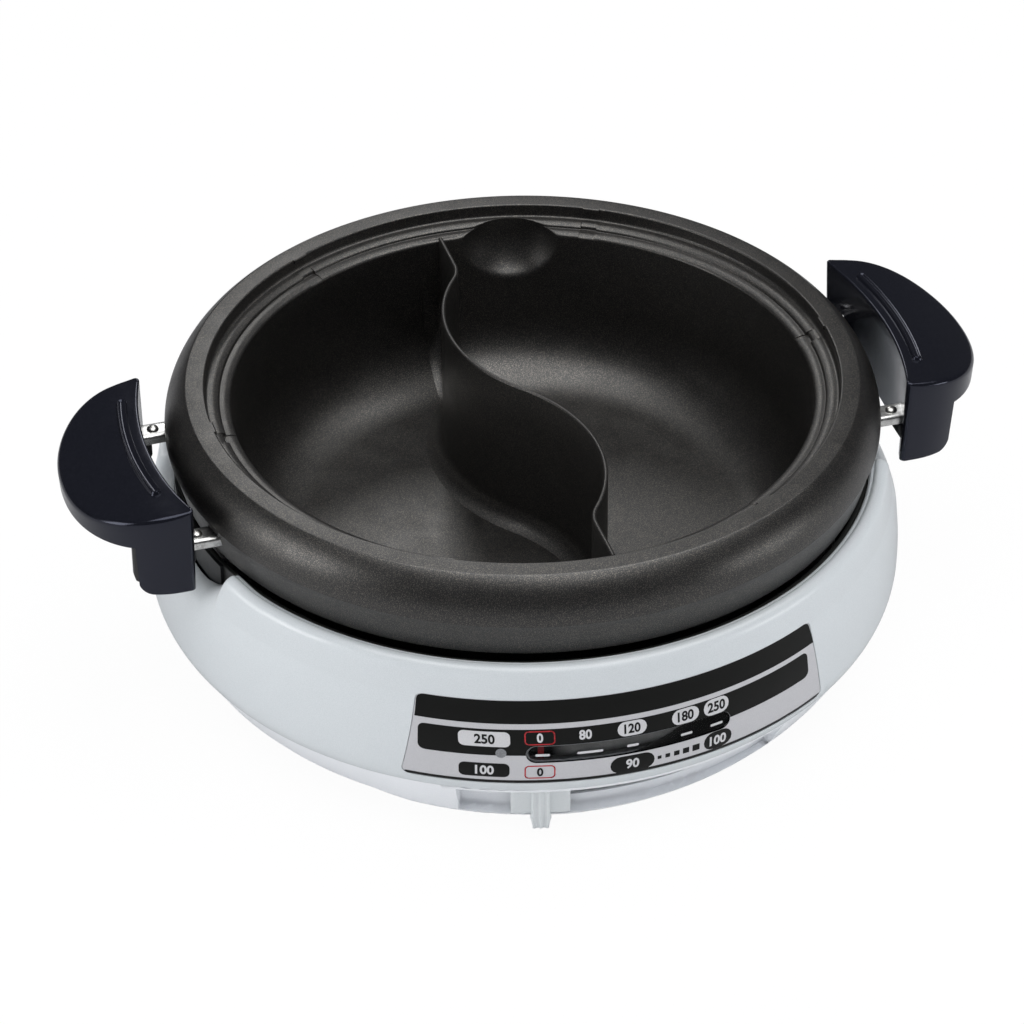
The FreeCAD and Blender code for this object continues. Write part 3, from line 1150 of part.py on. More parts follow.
def heater_element():
    """Sheathed tube: two cold legs, then one turn round the pan's floor."""
    bend = ELEMENT_BEND_R
    turn_x = ELEMENT_LEG_X + bend
    turn_y = math.sqrt((ELEMENT_R + bend) ** 2 - turn_x ** 2)
    join = V(turn_x, turn_y, 0) * (ELEMENT_R / (ELEMENT_R + bend))

    def leg(side):
        """Edges from the foot of one leg to the turn, in that order."""
        x = side * ELEMENT_LEG_X
        foot = V(x, ELEMENT_LEG_Y, ELEMENT_LEG_Z)
        knee = V(x, ELEMENT_LEG_Y, ELEMENT_Z)
        low = knee - V(0, 0, bend)
        high = knee - V(0, bend, 0)
        centre = knee - V(0, bend, bend)
        middle = centre + V(0, bend, bend) * math.sqrt(0.5)
        turn = V(side * turn_x, turn_y, ELEMENT_Z)
        enter = V(x, turn_y, ELEMENT_Z)
        leave = V(side * join.x, join.y, ELEMENT_Z)
        towards = ((enter - turn).normalize() + (leave - turn).normalize()).normalize()
        return [Part.LineSegment(foot, low), Part.Arc(low, middle, high),
                Part.LineSegment(high, enter), Part.Arc(enter, turn + towards * bend, leave)]

    left = leg(-1)
    right = leg(1)
    ring_arc = Part.Arc(V(-join.x, join.y, ELEMENT_Z), V(0, -ELEMENT_R, ELEMENT_Z),
                        V(join.x, join.y, ELEMENT_Z))
    edges = [curve.toShape() for curve in left] + [ring_arc.toShape()]
    edges += [curve.toShape() for curve in reversed(right)]
    spine = Part.Wire(Part.__sortEdges__(edges))
    foot = V(-ELEMENT_LEG_X, ELEMENT_LEG_Y, ELEMENT_LEG_Z)
    sweep = Part.BRepOffsetAPI.MakePipeShell(spine)
    sweep.add(Part.Wire(Part.makeCircle(ELEMENT_TUBE_R, foot, V(0, 0, 1))))
    sweep.build()
    sweep.makeSolid()
    return sweep.shape()


def element_clips():
    half = CLIP_WIDTH / 2
    clip = box((ELEMENT_R - half, ELEMENT_R + half), (-half, half), (REFLECTOR_Z + SHEET, ELEMENT_Z))
    clip = clip.cut(Part.makeTorus(ELEMENT_R, ELEMENT_TUBE_R + RUN_FIT, V(0, 0, ELEMENT_Z)))
    return Part.makeCompound(spread(clip, CLIP_COUNT, -90.0))


def terminal_ceramics():
    """Ceramic sleeve round each cold leg, hung by its flange on the reflector."""
    sleeves = []
    seat = REFLECTOR_Z + SHEET
    for side in (-1, 1):
        x = side * ELEMENT_LEG_X
        sleeve = cyl(x, ELEMENT_LEG_Y, CERAMIC_FOOT_Z, seat + 1, CERAMIC_R)
        flange = cyl(x, ELEMENT_LEG_Y, seat, seat + CERAMIC_FLANGE, CERAMIC_FLANGE_R)
        bore = cyl(x, ELEMENT_LEG_Y, 0, 100, ELEMENT_TUBE_R + RUN_FIT)
        sleeves.append(sleeve.fuse(flange).cut(bore).removeSplitter())
    return Part.makeCompound(sleeves)


def pan_rests():
    """Folded steel rests that carry the pan's floor."""
    half = REST_LENGTH / 2
    y = REST_WIDTH / 2
    body = box((REST_CIRCLE_R - half, REST_CIRCLE_R + half), (-y, y),
               (REFLECTOR_Z + SHEET, PAN_UNDER_Z))
    hollow = box((REST_CIRCLE_R - half - 1, REST_CIRCLE_R + half + 1),
                 (-y + REST_SHEET, y - REST_SHEET), (REFLECTOR_Z, PAN_UNDER_Z - REST_SHEET))
    return Part.makeCompound(spread(body.cut(hollow), REST_COUNT, 30.0))


# ================================================================ thermostat, sensor, lever
def thermostat_body():
    low = SHIELD_Z - THERMOSTAT_HEIGHT
    body = cyl(0, 0, low, SHIELD_Z, THERMOSTAT_R)
    collar = cyl(0, 0, SHIELD_Z - 1, COLLAR_TOP_Z, COLLAR_R)
    body = body.fuse(collar)
    body = body.cut(cyl(0, 0, low - 1, SHIELD_Z - 2.5, SPINDLE_R + RUN_FIT))
    guide_low = SENSOR_STEM_LOW_Z - SENSOR_TRAVEL - AIR_GAP
    return body.cut(cyl(0, 0, guide_low, COLLAR_TOP_Z + 1, SENSOR_STEM_R + RUN_FIT)).removeSplitter()


def sensor_cap():
    """Spring-loaded cup that feels the pan's floor."""
    low = PAN_UNDER_Z - SENSOR_CAP_HEIGHT
    cap = cyl(0, 0, low, PAN_UNDER_Z, SENSOR_CAP_R)
    cap = cap.makeChamfer(1.0, [edge for edge in cap.Edges
                                if edge.Closed and abs(edge.CenterOfMass.z - PAN_UNDER_Z) < 0.01])
    return cap.fuse(cyl(0, 0, SENSOR_STEM_LOW_Z, low + 1, SENSOR_STEM_R)).removeSplitter()


def sensor_spring():
    low = SHIELD_Z + SHEET + SPRING_WIRE_R
    high = PAN_UNDER_Z - SENSOR_CAP_HEIGHT - SPRING_WIRE_R
    helix = Part.makeHelix((high - low) / SPRING_TURNS, high - low, SPRING_R)
    helix.translate(V(0, 0, low))
    sweep = Part.BRepOffsetAPI.MakePipeShell(Part.Wire(helix))
    sweep.setFrenetMode(True)
    sweep.add(Part.Wire(Part.makeCircle(SPRING_WIRE_R, V(SPRING_R, 0, low), V(0, 1, 0))))
    sweep.build()
    sweep.makeSolid()
    return sweep.shape()


def to_lever(shape):
    """Turn a piece drawn towards the front into the lever's rest position."""
    return turned(shape, LEVER_OFF_DEG)


def lever_spindle():
    low = CASING_BOTTOM_Z + 1.7
    return cyl(0, 0, low, SHIELD_Z - 2.7, SPINDLE_R)


def lever_arm():
    """Flat steel arm with a hub, drawn towards the front."""
    half = ARM_WIDTH / 2
    top = ARM_Z + ARM_SHEET
    strip = box((-half, half), (-KNOB_IN_R, 0), (ARM_Z, top))
    hub = cyl(0, 0, ARM_Z - 2.0, top + 2.0, HUB_R)
    arm = strip.fuse(hub).cut(cyl(0, 0, 0, 50, SPINDLE_R))
    return to_lever(arm.removeSplitter())


def lever_knob():
    """Curved slider in the track, with a ridged tab that hangs below the casing."""
    wide = math.degrees(KNOB_HALF_WIDTH / KNOB_IN_R)
    slim = math.degrees(TAB_HALF_WIDTH / TAB_OUT_R)
    out_r = KNOB_IN_R + KNOB_WALL
    plate = band(KNOB_IN_R, out_r, KNOB_FOOT_Z, KNOB_TOP_Z, front_deg(-wide), front_deg(wide))
    tab = band(KNOB_IN_R, TAB_OUT_R, KNOB_FOOT_Z, KNOB_TOP_Z, front_deg(-slim), front_deg(slim))
    drop = band(CASING_FOOT_R + AIR_GAP, TAB_OUT_R, TAB_FOOT_Z, KNOB_FOOT_Z + 1,
                front_deg(-slim), front_deg(slim))
    middle = ARM_Z + ARM_SHEET / 2
    boss = box((-KNOB_BOSS_HALF, KNOB_BOSS_HALF), (-KNOB_IN_R - 1, -TRACK_R - AIR_GAP),
               (middle - KNOB_BOSS_HEIGHT / 2, middle + KNOB_BOSS_HEIGHT / 2))
    boss = boss.cut(cyl(0, 0, 0, 100, TRACK_R + AIR_GAP))
    socket = box((-ARM_WIDTH / 2 - RUN_FIT, ARM_WIDTH / 2 + RUN_FIT), (-KNOB_IN_R, 0),
                 (ARM_Z - RUN_FIT, ARM_Z + ARM_SHEET + RUN_FIT))
    return to_lever(fuse_all([plate, tab, drop, boss]).cut(socket).removeSplitter())


def pointer():
    """Red pointer: up from the arm, out over the track's roof, then up behind the window."""
    half = POINTER_WIDTH / 2
    foot = ARM_Z + ARM_SHEET
    wall = POINTER_WALL
    rise = box((-half, half), (-POINTER_RISE_R - wall, -POINTER_RISE_R), (foot, POINTER_RUN_Z + wall))
    run = box((-half, half), (-POINTER_OUT_R, -POINTER_RISE_R), (POINTER_RUN_Z, POINTER_RUN_Z + wall))
    blade = box((-half, half), (-POINTER_OUT_R, -POINTER_OUT_R + wall),
                (POINTER_RUN_Z, WINDOW_Z + WINDOW_HALF_HEIGHT + 1))
    sole = box((-half - 1, half + 1), (-POINTER_RISE_R - wall, -POINTER_RISE_R + 8), (foot, foot + wall))
    return to_lever(fuse_all([rise, run, blade, sole]))


# ================================================================ inlet and wiring
def inlet_housing():
    """Open-fronted socket box with a flange behind the casing's wall."""
    outer = box((-INLET_HALF_WIDTH, INLET_HALF_WIDTH), (INLET_BACK_Y, INLET_FACE_Y),
                (INLET_Z - INLET_HALF_HEIGHT, INLET_Z + INLET_HALF_HEIGHT))
    flange = box((-INLET_HALF_WIDTH - INLET_FLANGE, INLET_HALF_WIDTH + INLET_FLANGE),
                 (INLET_FLANGE_Y, INLET_FACE_Y),
                 (INLET_Z - INLET_HALF_HEIGHT, INLET_Z + INLET_HALF_HEIGHT))
    flange = flange.common(casing_body(CASING_WALL + RUN_FIT, LIP_TOP_Z, PARTING_Z))
    outer = outer.common(inlet_opening(0)).fuse(flange)
    wall = INLET_WALL
    cavity = box((-INLET_HALF_WIDTH + wall, INLET_HALF_WIDTH - wall),
                 (INLET_BACK_Y + 2 * wall, INLET_FACE_Y + 1),
                 (INLET_Z - INLET_HALF_HEIGHT + wall, INLET_Z + INLET_HALF_HEIGHT - wall))
    housing = outer.cut(cavity)
    for side in (-1, 1):
        hole = Part.makeCylinder(PIN_R, 20, V(side * PIN_X, INLET_BACK_Y - 5, INLET_Z), V(0, 1, 0))
        housing = housing.cut(hole)
    return housing.removeSplitter()


def inlet_pins():
    pins = []
    for side in (-1, 1):
        pin = Part.makeCylinder(PIN_R, PIN_TIP_Y - PIN_TAIL_Y, V(side * PIN_X, PIN_TAIL_Y, INLET_Z),
                                V(0, 1, 0))
        pins.append(pin)
    return Part.makeCompound(pins)


def inlet_pole_plates():
    """Steel plates that a magnetic plug holds on to."""
    seat = INLET_BACK_Y + 2 * INLET_WALL
    plates = []
    for side in (-1, 1):
        x = side * POLE_X
        plates.append(box((x - POLE_HALF_WIDTH, x + POLE_HALF_WIDTH), (seat, seat + POLE_THICK),
                          (INLET_Z - POLE_HALF_HEIGHT, INLET_Z + POLE_HALF_HEIGHT)))
    return Part.makeCompound(plates)


def terminal_block():
    x, y, z = BLOCK_SIZE
    return box((BLOCK_X - x / 2, BLOCK_X + x / 2), (BLOCK_Y - y / 2, BLOCK_Y + y / 2),
               (COVER_FLOOR_Z, COVER_FLOOR_Z + z))


def thermal_fuse():
    """Small round fuse clipped under the heat shield."""
    z = SHIELD_Z - FUSE_R
    return Part.makeCylinder(FUSE_R, FUSE_LENGTH, V(FUSE_X - FUSE_LENGTH / 2, FUSE_Y, z), V(1, 0, 0))


def leads():
    """Insulated leads inside the base, each clipped along its route."""
    body_z = SHIELD_Z - THERMOSTAT_HEIGHT / 2
    body_r = THERMOSTAT_R + RUN_FIT
    fuse_z = SHIELD_Z - FUSE_R
    fuse_in = (FUSE_X + FUSE_LENGTH / 2, FUSE_Y, fuse_z)
    fuse_out = (FUSE_X - FUSE_LENGTH / 2, FUSE_Y, fuse_z)
    block_side = BLOCK_X + BLOCK_SIZE[0] / 2
    lamp_deg = front_deg(LAMP_DEG)
    lamp_r = LENS_INNER_R - LAMP_LENGTH / 2
    lamp_run_z = (SHIELD_Z + REFLECTOR_FLANGE_Z) / 2
    leg_foot = V(ELEMENT_LEG_X, ELEMENT_LEG_Y, ELEMENT_LEG_Z)
    inlet_y = PIN_TAIL_Y - 14
    drop_y = PIN_TAIL_Y - 22
    high_z = SHIELD_Z - 5
    run_z = SHIELD_Z - 7
    floor_z = COVER_FLOOR_Z + 6
    routes = {
        "lead_live": ([(-PIN_X, PIN_TAIL_Y, INLET_Z), (-PIN_X, inlet_y, INLET_Z),
                       (-24, drop_y, high_z), (-30, 100, run_z), (-27, 46, run_z),
                       polar(body_r + 12, 130, body_z), polar(body_r, 130, body_z)], 5),
        "lead_neutral": ([(PIN_X, PIN_TAIL_Y, INLET_Z), (PIN_X, inlet_y, INLET_Z),
                          (24, drop_y, high_z), (48, 120, run_z), (66, 72, run_z + 1),
                          (66, FUSE_Y, fuse_z), fuse_in], 6),
        "lead_fuse": ([fuse_out, (24, FUSE_Y, fuse_z), (16, 76, floor_z),
                       leg_foot - V(0, 0, 8), leg_foot], 4),
        "lead_element": ([polar(body_r, 105, body_z), polar(body_r + 12, 105, body_z),
                          (-10, 76, floor_z), leg_foot - V(2 * ELEMENT_LEG_X, 0, 8),
                          leg_foot - V(2 * ELEMENT_LEG_X, 0, 0)], 4),
        "lead_lamp": ([polar(body_r, 235, body_z), (-48, -70, run_z),
                       polar(lamp_r - 33, lamp_deg, run_z + 1),
                       polar(lamp_r - 20, lamp_deg, lamp_run_z), polar(lamp_r, lamp_deg, lamp_run_z),
                       polar(lamp_r, lamp_deg, WINDOW_Z - LAMP_R - RUN_FIT)], 7),
        "lead_earth": ([(block_side, BLOCK_Y, floor_z), (block_side + 9, BLOCK_Y, floor_z),
                        (34, 84, floor_z + 2), (30, 60, floor_z + 3), (30, 60, SHIELD_Z)], 5),
    }
    shapes = {}
    for name, (points, bend) in routes.items():
        bends = [0] + [bend] * (len(points) - 2) + [0]
        shapes[name] = tube_along(points, bends, LEAD_R)
    return shapes


# ================================================================ all the pieces
def build():
    nodes = {
        "divided_pan": divided_pan(),
        "upper_casing": upper_casing(),
        "bottom_cover": bottom_cover(),
        "rubber_feet": rubber_feet(),
        "casing_screws": casing_screws(),
        "shield_screws": shield_screws(),
        "guard_ring": guard_ring(),
        "heat_shield": heat_shield(),
        "reflector_dish": reflector_dish(),
        "shield_spacers": shield_spacers(),
        "heater_element": heater_element(),
        "element_clips": element_clips(),
        "terminal_ceramics": terminal_ceramics(),
        "pan_rests": pan_rests(),
        "thermostat_body": thermostat_body(),
        "sensor_cap": sensor_cap(),
        "sensor_spring": sensor_spring(),
        "lever_spindle": lever_spindle(),
        "lever_arm": lever_arm(),
        "lever_knob": lever_knob(),
        "lever_pointer": pointer(),
        "control_panel": control_panel(),
        "panel_window": panel_window(),
        "scale_strip": scale_strip(),
        "lamp_lens": lamp_lens(),
        "pilot_lamp": pilot_lamp(),
        "inlet_housing": inlet_housing(),
        "inlet_pins": inlet_pins(),
        "inlet_pole_plates": inlet_pole_plates(),
        "terminal_block": terminal_block(),
        "thermal_fuse": thermal_fuse(),
    }
    nodes.update(leads())
    shield = saddle_shield()
    shell = handle_shell()
    cover = handle_cover()
    nodes["saddle_shield_right"] = shield
    nodes["saddle_shield_left"] = mirror_x(shield)
    nodes["handle_shell_right"] = shell
    nodes["handle_shell_left"] = mirror_x(shell)
    nodes["handle_cover_right"] = cover
    nodes["handle_cover_left"] = mirror_x(cover)
    corners = ("right_rear", "right_front", "left_rear", "left_front")
    for corner, shape in zip(corners, at_four_corners(bracket())):
        nodes["bracket_" + corner] = shape
    nodes["bracket_bolts"] = Part.makeCompound(at_four_corners(bolt_from_below(LUG_X, BRACKET_Y)))
    nodes["bracket_rivets"] = Part.makeCompound(at_four_corners(rivet()))
    handle_screw = bolt_from_below(HANDLE_BOSS_X, HANDLE_BOSS_Y)
    nodes["handle_screws"] = Part.makeCompound(at_four_corners(handle_screw))
    return nodes


os.makedirs("parts", exist_ok=True)
for node, shape in build().items():
    shape = solids_of(shape)
    for solid in shape.Solids:
        if not solid.isValid() or solid.Volume <= 0:
            print("bad solid in", node, solid.isValid(), round(solid.Volume, 1))
    print(node, len(shape.Solids), round(shape.Volume / 1000, 2), "cm3")
    shape.exportStep("parts/" + node + ".step")
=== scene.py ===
import bisect
import math
import bmesh
import bpy
from mathutils import Matrix, Vector


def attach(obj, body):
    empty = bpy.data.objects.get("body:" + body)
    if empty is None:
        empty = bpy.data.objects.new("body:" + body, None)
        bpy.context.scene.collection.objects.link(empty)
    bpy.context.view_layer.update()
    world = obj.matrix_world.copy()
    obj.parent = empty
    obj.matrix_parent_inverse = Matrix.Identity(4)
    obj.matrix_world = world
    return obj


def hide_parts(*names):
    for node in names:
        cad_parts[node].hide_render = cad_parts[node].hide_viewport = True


# Electric hot pot: a divided pan with two handles in a pearl-white heating base.
# Sizes are written in millimetres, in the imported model's frame, and become metres in the meshes.

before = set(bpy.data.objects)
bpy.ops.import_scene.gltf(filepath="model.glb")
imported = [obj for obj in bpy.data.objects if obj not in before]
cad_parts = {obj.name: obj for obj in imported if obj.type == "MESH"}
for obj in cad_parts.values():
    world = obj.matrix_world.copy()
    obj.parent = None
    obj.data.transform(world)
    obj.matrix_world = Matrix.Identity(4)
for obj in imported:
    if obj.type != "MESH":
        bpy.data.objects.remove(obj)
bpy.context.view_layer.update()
MM = 0.001

# ---------------------------------------------------------------- pan
LEDGE_2_R, LEDGE_1_R = 161.3, 167.6
RING_IN_R, RING_OUT_R = 175.3, 187.0
RING_TOP_Z, LEDGE_1_Z, LEDGE_2_Z = 162.0, 154.2, 151.6
RING_UNDER_Z, RING_FALL = 157.5, 0.35
LEDGE_SLOPE, LEDGE_CROWN, LEDGE_BEND = 3.3, 1.2, 7.0
LEDGE_EDGE, NOTCH_EDGE = 1.8, 1.3
RING_EDGE_DROP, SWELL_OUT = 0.7, 3.0
PAN_WALL = 4.5
FLOOR_Z = 60.0
FLOOR_RADII = (0, 5, 14, 26, 40, 56, 72, 88, 104)
DRAFT = math.radians(1.0)
FLOOR_FILLET = 38.0
APRON_R, CREASE_Z = 198.3, 136.5
APRON_EDGE_R, APRON_EDGE_Z = 192.2, 114.9
APRON_WALL = 3.2
NOTCH_COUNT = 6
NOTCH_WIDTH = 9.0
NOTCH_DEPTH, NOTCH_DIP, NOTCH_FOOT = 1.5, 0.5, 3.2
TAB_REACH = 0.9
TAB_THICK = 2.5
SCOOP_R, SCOOP_WALL = 33.0, 3.4
SCOOP_CENTRE_R, SCOOP_Z, SCOOP_DEG = 140.6, 148.0, 75.8
SCOOP_SOFT, SCOOP_REACH = 0.9, 8.0
PAN_STEP_DEG = 1.25

# ---------------------------------------------------------------- divider
DIVIDER_TOP_Z = 152.2
DIVIDER_THICK = 2.4
DIVIDER_FOOT_R = 11.0
DIVIDER_CREST, DIVIDER_ROOT = 0.9, 2.0
DIVIDER_INTO_WALL = 1.5
DIVIDER_ARC_IN, DIVIDER_ARC_OUT, DIVIDER_KINK_R = 98.0, 92.0, 23.8
DIVIDER_CROSS = math.radians(40.6)
DIVIDER_TURN = math.radians(36.6)

# ---------------------------------------------------------------- handles and brackets
HANDLE_X, HANDLE_LONG, HANDLE_HALF, HANDLE_SQUARE = 210.0, 51.6, 67.2, 2.12
HANDLE_FLAT_X, HANDLE_PAN_R, HANDLE_TIP_R = 200.0, 211.9, 3.0
HANDLE_DOME, HANDLE_DOME_X, HANDLE_DOME_HALF = 2.2, 232.0, 30.0
HANDLE_TAPER = 0.0014
HANDLE_TOP_Z, HANDLE_FALL = 158.0, 0.25
HANDLE_RIM_Z, HANDLE_LEG_Z, HANDLE_LEG_X = 132.0, 102.0, 234.0
HANDLE_BACK_Z, HANDLE_BOSS_Z = 104.3, 122.5
HANDLE_LEG_CORNER, HANDLE_RIM_RISE = 8.0, 0.07
HANDLE_WALL = 2.8
HANDLE_EDGE_R, HANDLE_INNER_EDGE_R = 3.0, 1.4
LEG_RETURN_Y = 57.5
THUMB_R, THUMB_MIDDLE_DEG, THUMB_HALF_DEG = 221.0, 0.6, 11.3
THUMB_WIDTH, THUMB_RISE = 5.6, 2.0
BRACKET_Y, BRACKET_WIDTH, BRACKET_TOP_Z = 51.8, 13.5, 131.0
BRACKET_SHEET, BRACKET_FLANGE = 1.5, 5.5
BRACKET_IN_X, BRACKET_OUT_X = 165.0, 219.0
RIVET_X = 198.6

# ---------------------------------------------------------------- base
PARTING_R, PARTING_Z, PARTING_GAP = 204.9, 33.0, 0.3
FOOT_DROP_Z, FOOT_DRAW = 10.5, 8.9
BELLY_R, BELLY_Z = 211.0, 57.0
SHOULDER_R, SHOULDER_Z = 206.5, 92.5
LIP_R, LIP_Z = 203.8, 107.5
LIP_TOP_R, LIP_TOP_Z, LIP_ROUND = 198.0, 111.9, 6.0
LIP_LIFT, HORN_LIFT, HORN_Y, HORN_WIDE = 0.5, 2.7, 71.0, 14.0
LIFT_FROM_Z, LIFT_REACH = 98.0, 11.0
CASING_WALL = 3.0
SADDLE_START_Z, SADDLE_IN_R = 74.0, 195.2
SADDLE_FULL_Y, SADDLE_CLEAR_Y = 64.5, 73.5
SADDLE_BROW_R, SADDLE_BROW = 203.5, 1.6
GUARD_OUT_R, GUARD_IN_R, GUARD_FOOT_R = 192.8, 190.2, 176.0
GUARD_TOP_Z, GUARD_FOOT_Z, GUARD_WALL = 109.0, 56.0, 2.6

# ---------------------------------------------------------------- control panel and lever
PANEL_TOP_Z, PANEL_FOOT_Z, PANEL_CORNER = 94.8, 41.6, 4.5
PANEL_LEFT, PANEL_RIGHT = (-120.8, -111.3), (116.0, 106.8)
PANEL_RECESS, PANEL_SINK = 1.4, 0.3
WINDOW_Z, WINDOW_HALF = 61.8, 5.6
WINDOW_LEFT, WINDOW_RIGHT = -59.6, 53.6
LEVER_OFF_DEG = -14.2
PRINT_CELL, PRINT_SUNK = 3.0, 0.05
NUMBER_SQUEEZE, NUMBER_BOLD = 0.86, 0.03

# ---------------------------------------------------------------- lever slider
PLATE_R, PLATE_BACK_R, PLATE_HALF_DEG, PLATE_LOW_Z, PLATE_TOP_Z = 199.8, 197.2, 4.6, 12.6, 30.2
PLATE_DEG = 3.48    # length of one degree along the plate
TAB_R, TAB_BACK_R, TAB_HANG_R = 202.2, 198.2, 200.9
TAB_HALF_DEG, TAB_LOW_Z, TAB_TOP_Z = 1.42, 4.4, 30.1
TAB_RIDGE, TAB_RIDGE_WIDE, TAB_RIDGES = 0.85, 0.2, (-0.8, 0.0, 0.8)
TAB_FLARE, TAB_TAPER_Z, TAB_FOOT_SHARE = 1.1, 14.0, 0.86

# ---------------------------------------------------------------- camera, in degrees and metres
CAMERA_AZIMUTH, CAMERA_ELEVATION, CAMERA_ROLL = -16.427, 35.854, -0.449
CAMERA_PLACE, CAMERA_LENS = (-0.586605, -1.967427, 1.551195), 157.91


# ================================================================ lines and profiles
def arc_through(a, b, c, steps):
    """Points of the arc from a through b to c, with both ends."""
    ax, ay = a
    bx, by = b
    cx, cy = c
    d = 2 * (ax * (by - cy) + bx * (cy - ay) + cx * (ay - by))
    a2, b2, c2 = ax * ax + ay * ay, bx * bx + by * by, cx * cx + cy * cy
    ox = (a2 * (by - cy) + b2 * (cy - ay) + c2 * (ay - by)) / d
    oy = (a2 * (cx - bx) + b2 * (ax - cx) + c2 * (bx - ax)) / d
    radius = math.hypot(ax - ox, ay - oy)
    start = math.atan2(ay - oy, ax - ox)
    mid = (math.atan2(by - oy, bx - ox) - start) % (2 * math.pi)
    end = (math.atan2(cy - oy, cx - ox) - start) % (2 * math.pi)
    if mid > end:
        end -= 2 * math.pi
    return [(ox + radius * math.cos(start + end * i / steps),
             oy + radius * math.sin(start + end * i / steps)) for i in range(steps + 1)]


def between(a, b, count):
    """Points strictly between a and b."""
    return [(a[0] + (b[0] - a[0]) * i / (count + 1), a[1] + (b[1] - a[1]) * i / (count + 1))
            for i in range(1, count + 1)]


def corner(before, point, after, radius, steps):
    """Points that round a corner; a straight run gets points close together instead."""
    p = Vector(point)
    d_in = (p - Vector(before)).normalized()
    d_out = (Vector(after) - p).normalized()
    turn = d_in.angle(d_out)
    if turn < 0.02:
        return [tuple(p + d_in * radius * (2 * i / steps - 1) * 0.5) for i in range(steps + 1)]
    cut = radius * math.tan(turn / 2)
    start = p - d_in * cut
    end = p + d_out * cut
    towards = (d_out - d_in).normalized()
    middle = p + towards * (radius / math.cos(turn / 2) - radius)
    return arc_through(tuple(start), tuple(middle), tuple(end), steps)


def run(stations):
    """Line through stations of (point, corner radius or None, points up to the next station)."""
    line = []
    gap = 0
    last = len(stations) - 1
    for i, (point, radius, spaced) in enumerate(stations):
        bend = [point]
        if radius is not None and 0 < i < last:
            bend = corner(stations[i - 1][0], point, stations[i + 1][0], radius, 4)
        if gap:
            line += between(line[-1], bend[0], gap)
        line += bend
        gap = spaced
    return line


def plain(points):
    """Stations for points that need no rounding."""
    return [(point, None, 0) for point in points]


def way_along(value, start, end):
    """Share of the way from start to end, held between 0 and 1."""
    return min(max((value - start) / (end - start), 0.0), 1.0)


def eased(share):
    """The same share, but starting and ending gently."""
    return share * share * (3 - 2 * share)


def look_up(table, at):
    """Linear interpolation in a list of (at, value) pairs in rising order."""
    keys = [row[0] for row in table]
    i = min(max(bisect.bisect_left(keys, at), 1), len(table) - 1)
    (x0, y0), (x1, y1) = table[i - 1], table[i]
    return y0 + (y1 - y0) * way_along(at, x0, x1)


def soft_min(a, b, reach):
    """The lower of two values, rounded where they meet."""
    low = min(a, b)
    return low - reach * math.log(1 + math.exp(-abs(a - b) / reach))


def soft_max(a, b, reach):
    """The higher of two values, rounded where they meet."""
    return -soft_min(-a, -b, reach)


# ================================================================ meshes and pieces
def turned_rows(columns, loop):
    """Vertices and faces of columns set side by side all the way round.

    A loop column closes on itself; otherwise its two ends lie on the axis.
    """
    count = len(columns)
    rows = len(columns[0])
    verts = []
    faces = []
    if loop:
        for column in columns:
            verts += column
        for i in range(count):
            j = (i + 1) % count
            for k in range(rows):
                n = (k + 1) % rows
                faces.append((i * rows + k, j * rows + k, j * rows + n, i * rows + n))
        return verts, faces
    inner = rows - 2
    for column in columns:
        verts += column[1:-1]
    first, last = len(verts), len(verts) + 1
    verts += [columns[0][0], columns[0][-1]]
    for i in range(count):
        j = (i + 1) % count
        faces.append((first, j * inner, i * inner))
        faces.append((last, i * inner + inner - 1, j * inner + inner - 1))
        for k in range(inner - 1):
            faces.append((i * inner + k, j * inner + k, j * inner + k + 1, i * inner + k + 1))
    return verts, faces


def loft(rings, strips=False):
    """Skin over closed rings that follow each other, shut by one face or by a strip of faces."""
    count = len(rings[0])
    verts = [point for ring in rings for point in ring]
    faces = []
    for a in range(0, len(verts) - count, count):
        for k in range(count):
            n = (k + 1) % count
            faces.append((a + k, a + count + k, a + count + n, a + n))
    last = len(verts) - count
    if strips:
        for k in range(count // 2 - 1):
            n = count - 1 - k
            faces.append((k, k + 1, n - 1, n))
            faces.append((last + k, last + n, last + n - 1, last + k + 1))
    else:
        faces.append(tuple(range(count)))
        faces.append(tuple(last + k for k in reversed(range(count))))
    return verts, faces


def grid_faces(rows, width, start=0):
    """Quads between open rows of points that follow each other."""
    faces = []
    for i in range(rows - 1):
        for k in range(width - 1):
            a, b = start + i * width + k, start + (i + 1) * width + k
            faces.append((a, b, b + 1, a + 1))
    return faces


def joined(parts):
    """Vertices and faces of several meshes as one."""
    verts = []
    faces = []
    for more, ids in parts:
        faces += [tuple(i + len(verts) for i in face) for face in ids]
        verts += more
    return verts, faces


def at_angle(radius, degrees, z):
    """Point at an angle measured from +X round the Z axis."""
    angle = math.radians(degrees)
    return (radius * math.cos(angle), radius * math.sin(angle), z)


def plain_lathe(profile, steps, loop=True):
    """One profile turned round the Z axis."""
    columns = [[at_angle(r, 360.0 * i / steps, z) for r, z in profile] for i in range(steps)]
    return turned_rows(columns, loop)


def new_mesh(name, verts, faces, merge=0.002):
    """Mesh in metres from millimetres, doubles merged and normals pointing out."""
    mesh = bpy.data.meshes.new(name)
    mesh.from_pydata([(x * MM, y * MM, z * MM) for x, y, z in verts], [], faces)
    tidy = bmesh.new()
    tidy.from_mesh(mesh)
    bmesh.ops.remove_doubles(tidy, verts=tidy.verts, dist=merge * MM)
    bmesh.ops.recalc_face_normals(tidy, faces=tidy.faces)
    tidy.to_mesh(mesh)
    tidy.free()
    return mesh


def new_object(name, mesh):
    """Object of some data, linked into the scene."""
    made = bpy.data.objects.new(name, mesh)
    bpy.context.scene.collection.objects.link(made)
    return made


def bake(source):
    """Turn an object's modifiers into its own mesh."""
    graph = bpy.context.evaluated_depsgraph_get()
    mesh = bpy.data.meshes.new_from_object(source.evaluated_get(graph))
    source.modifiers.clear()
    source.data = mesh
    return source


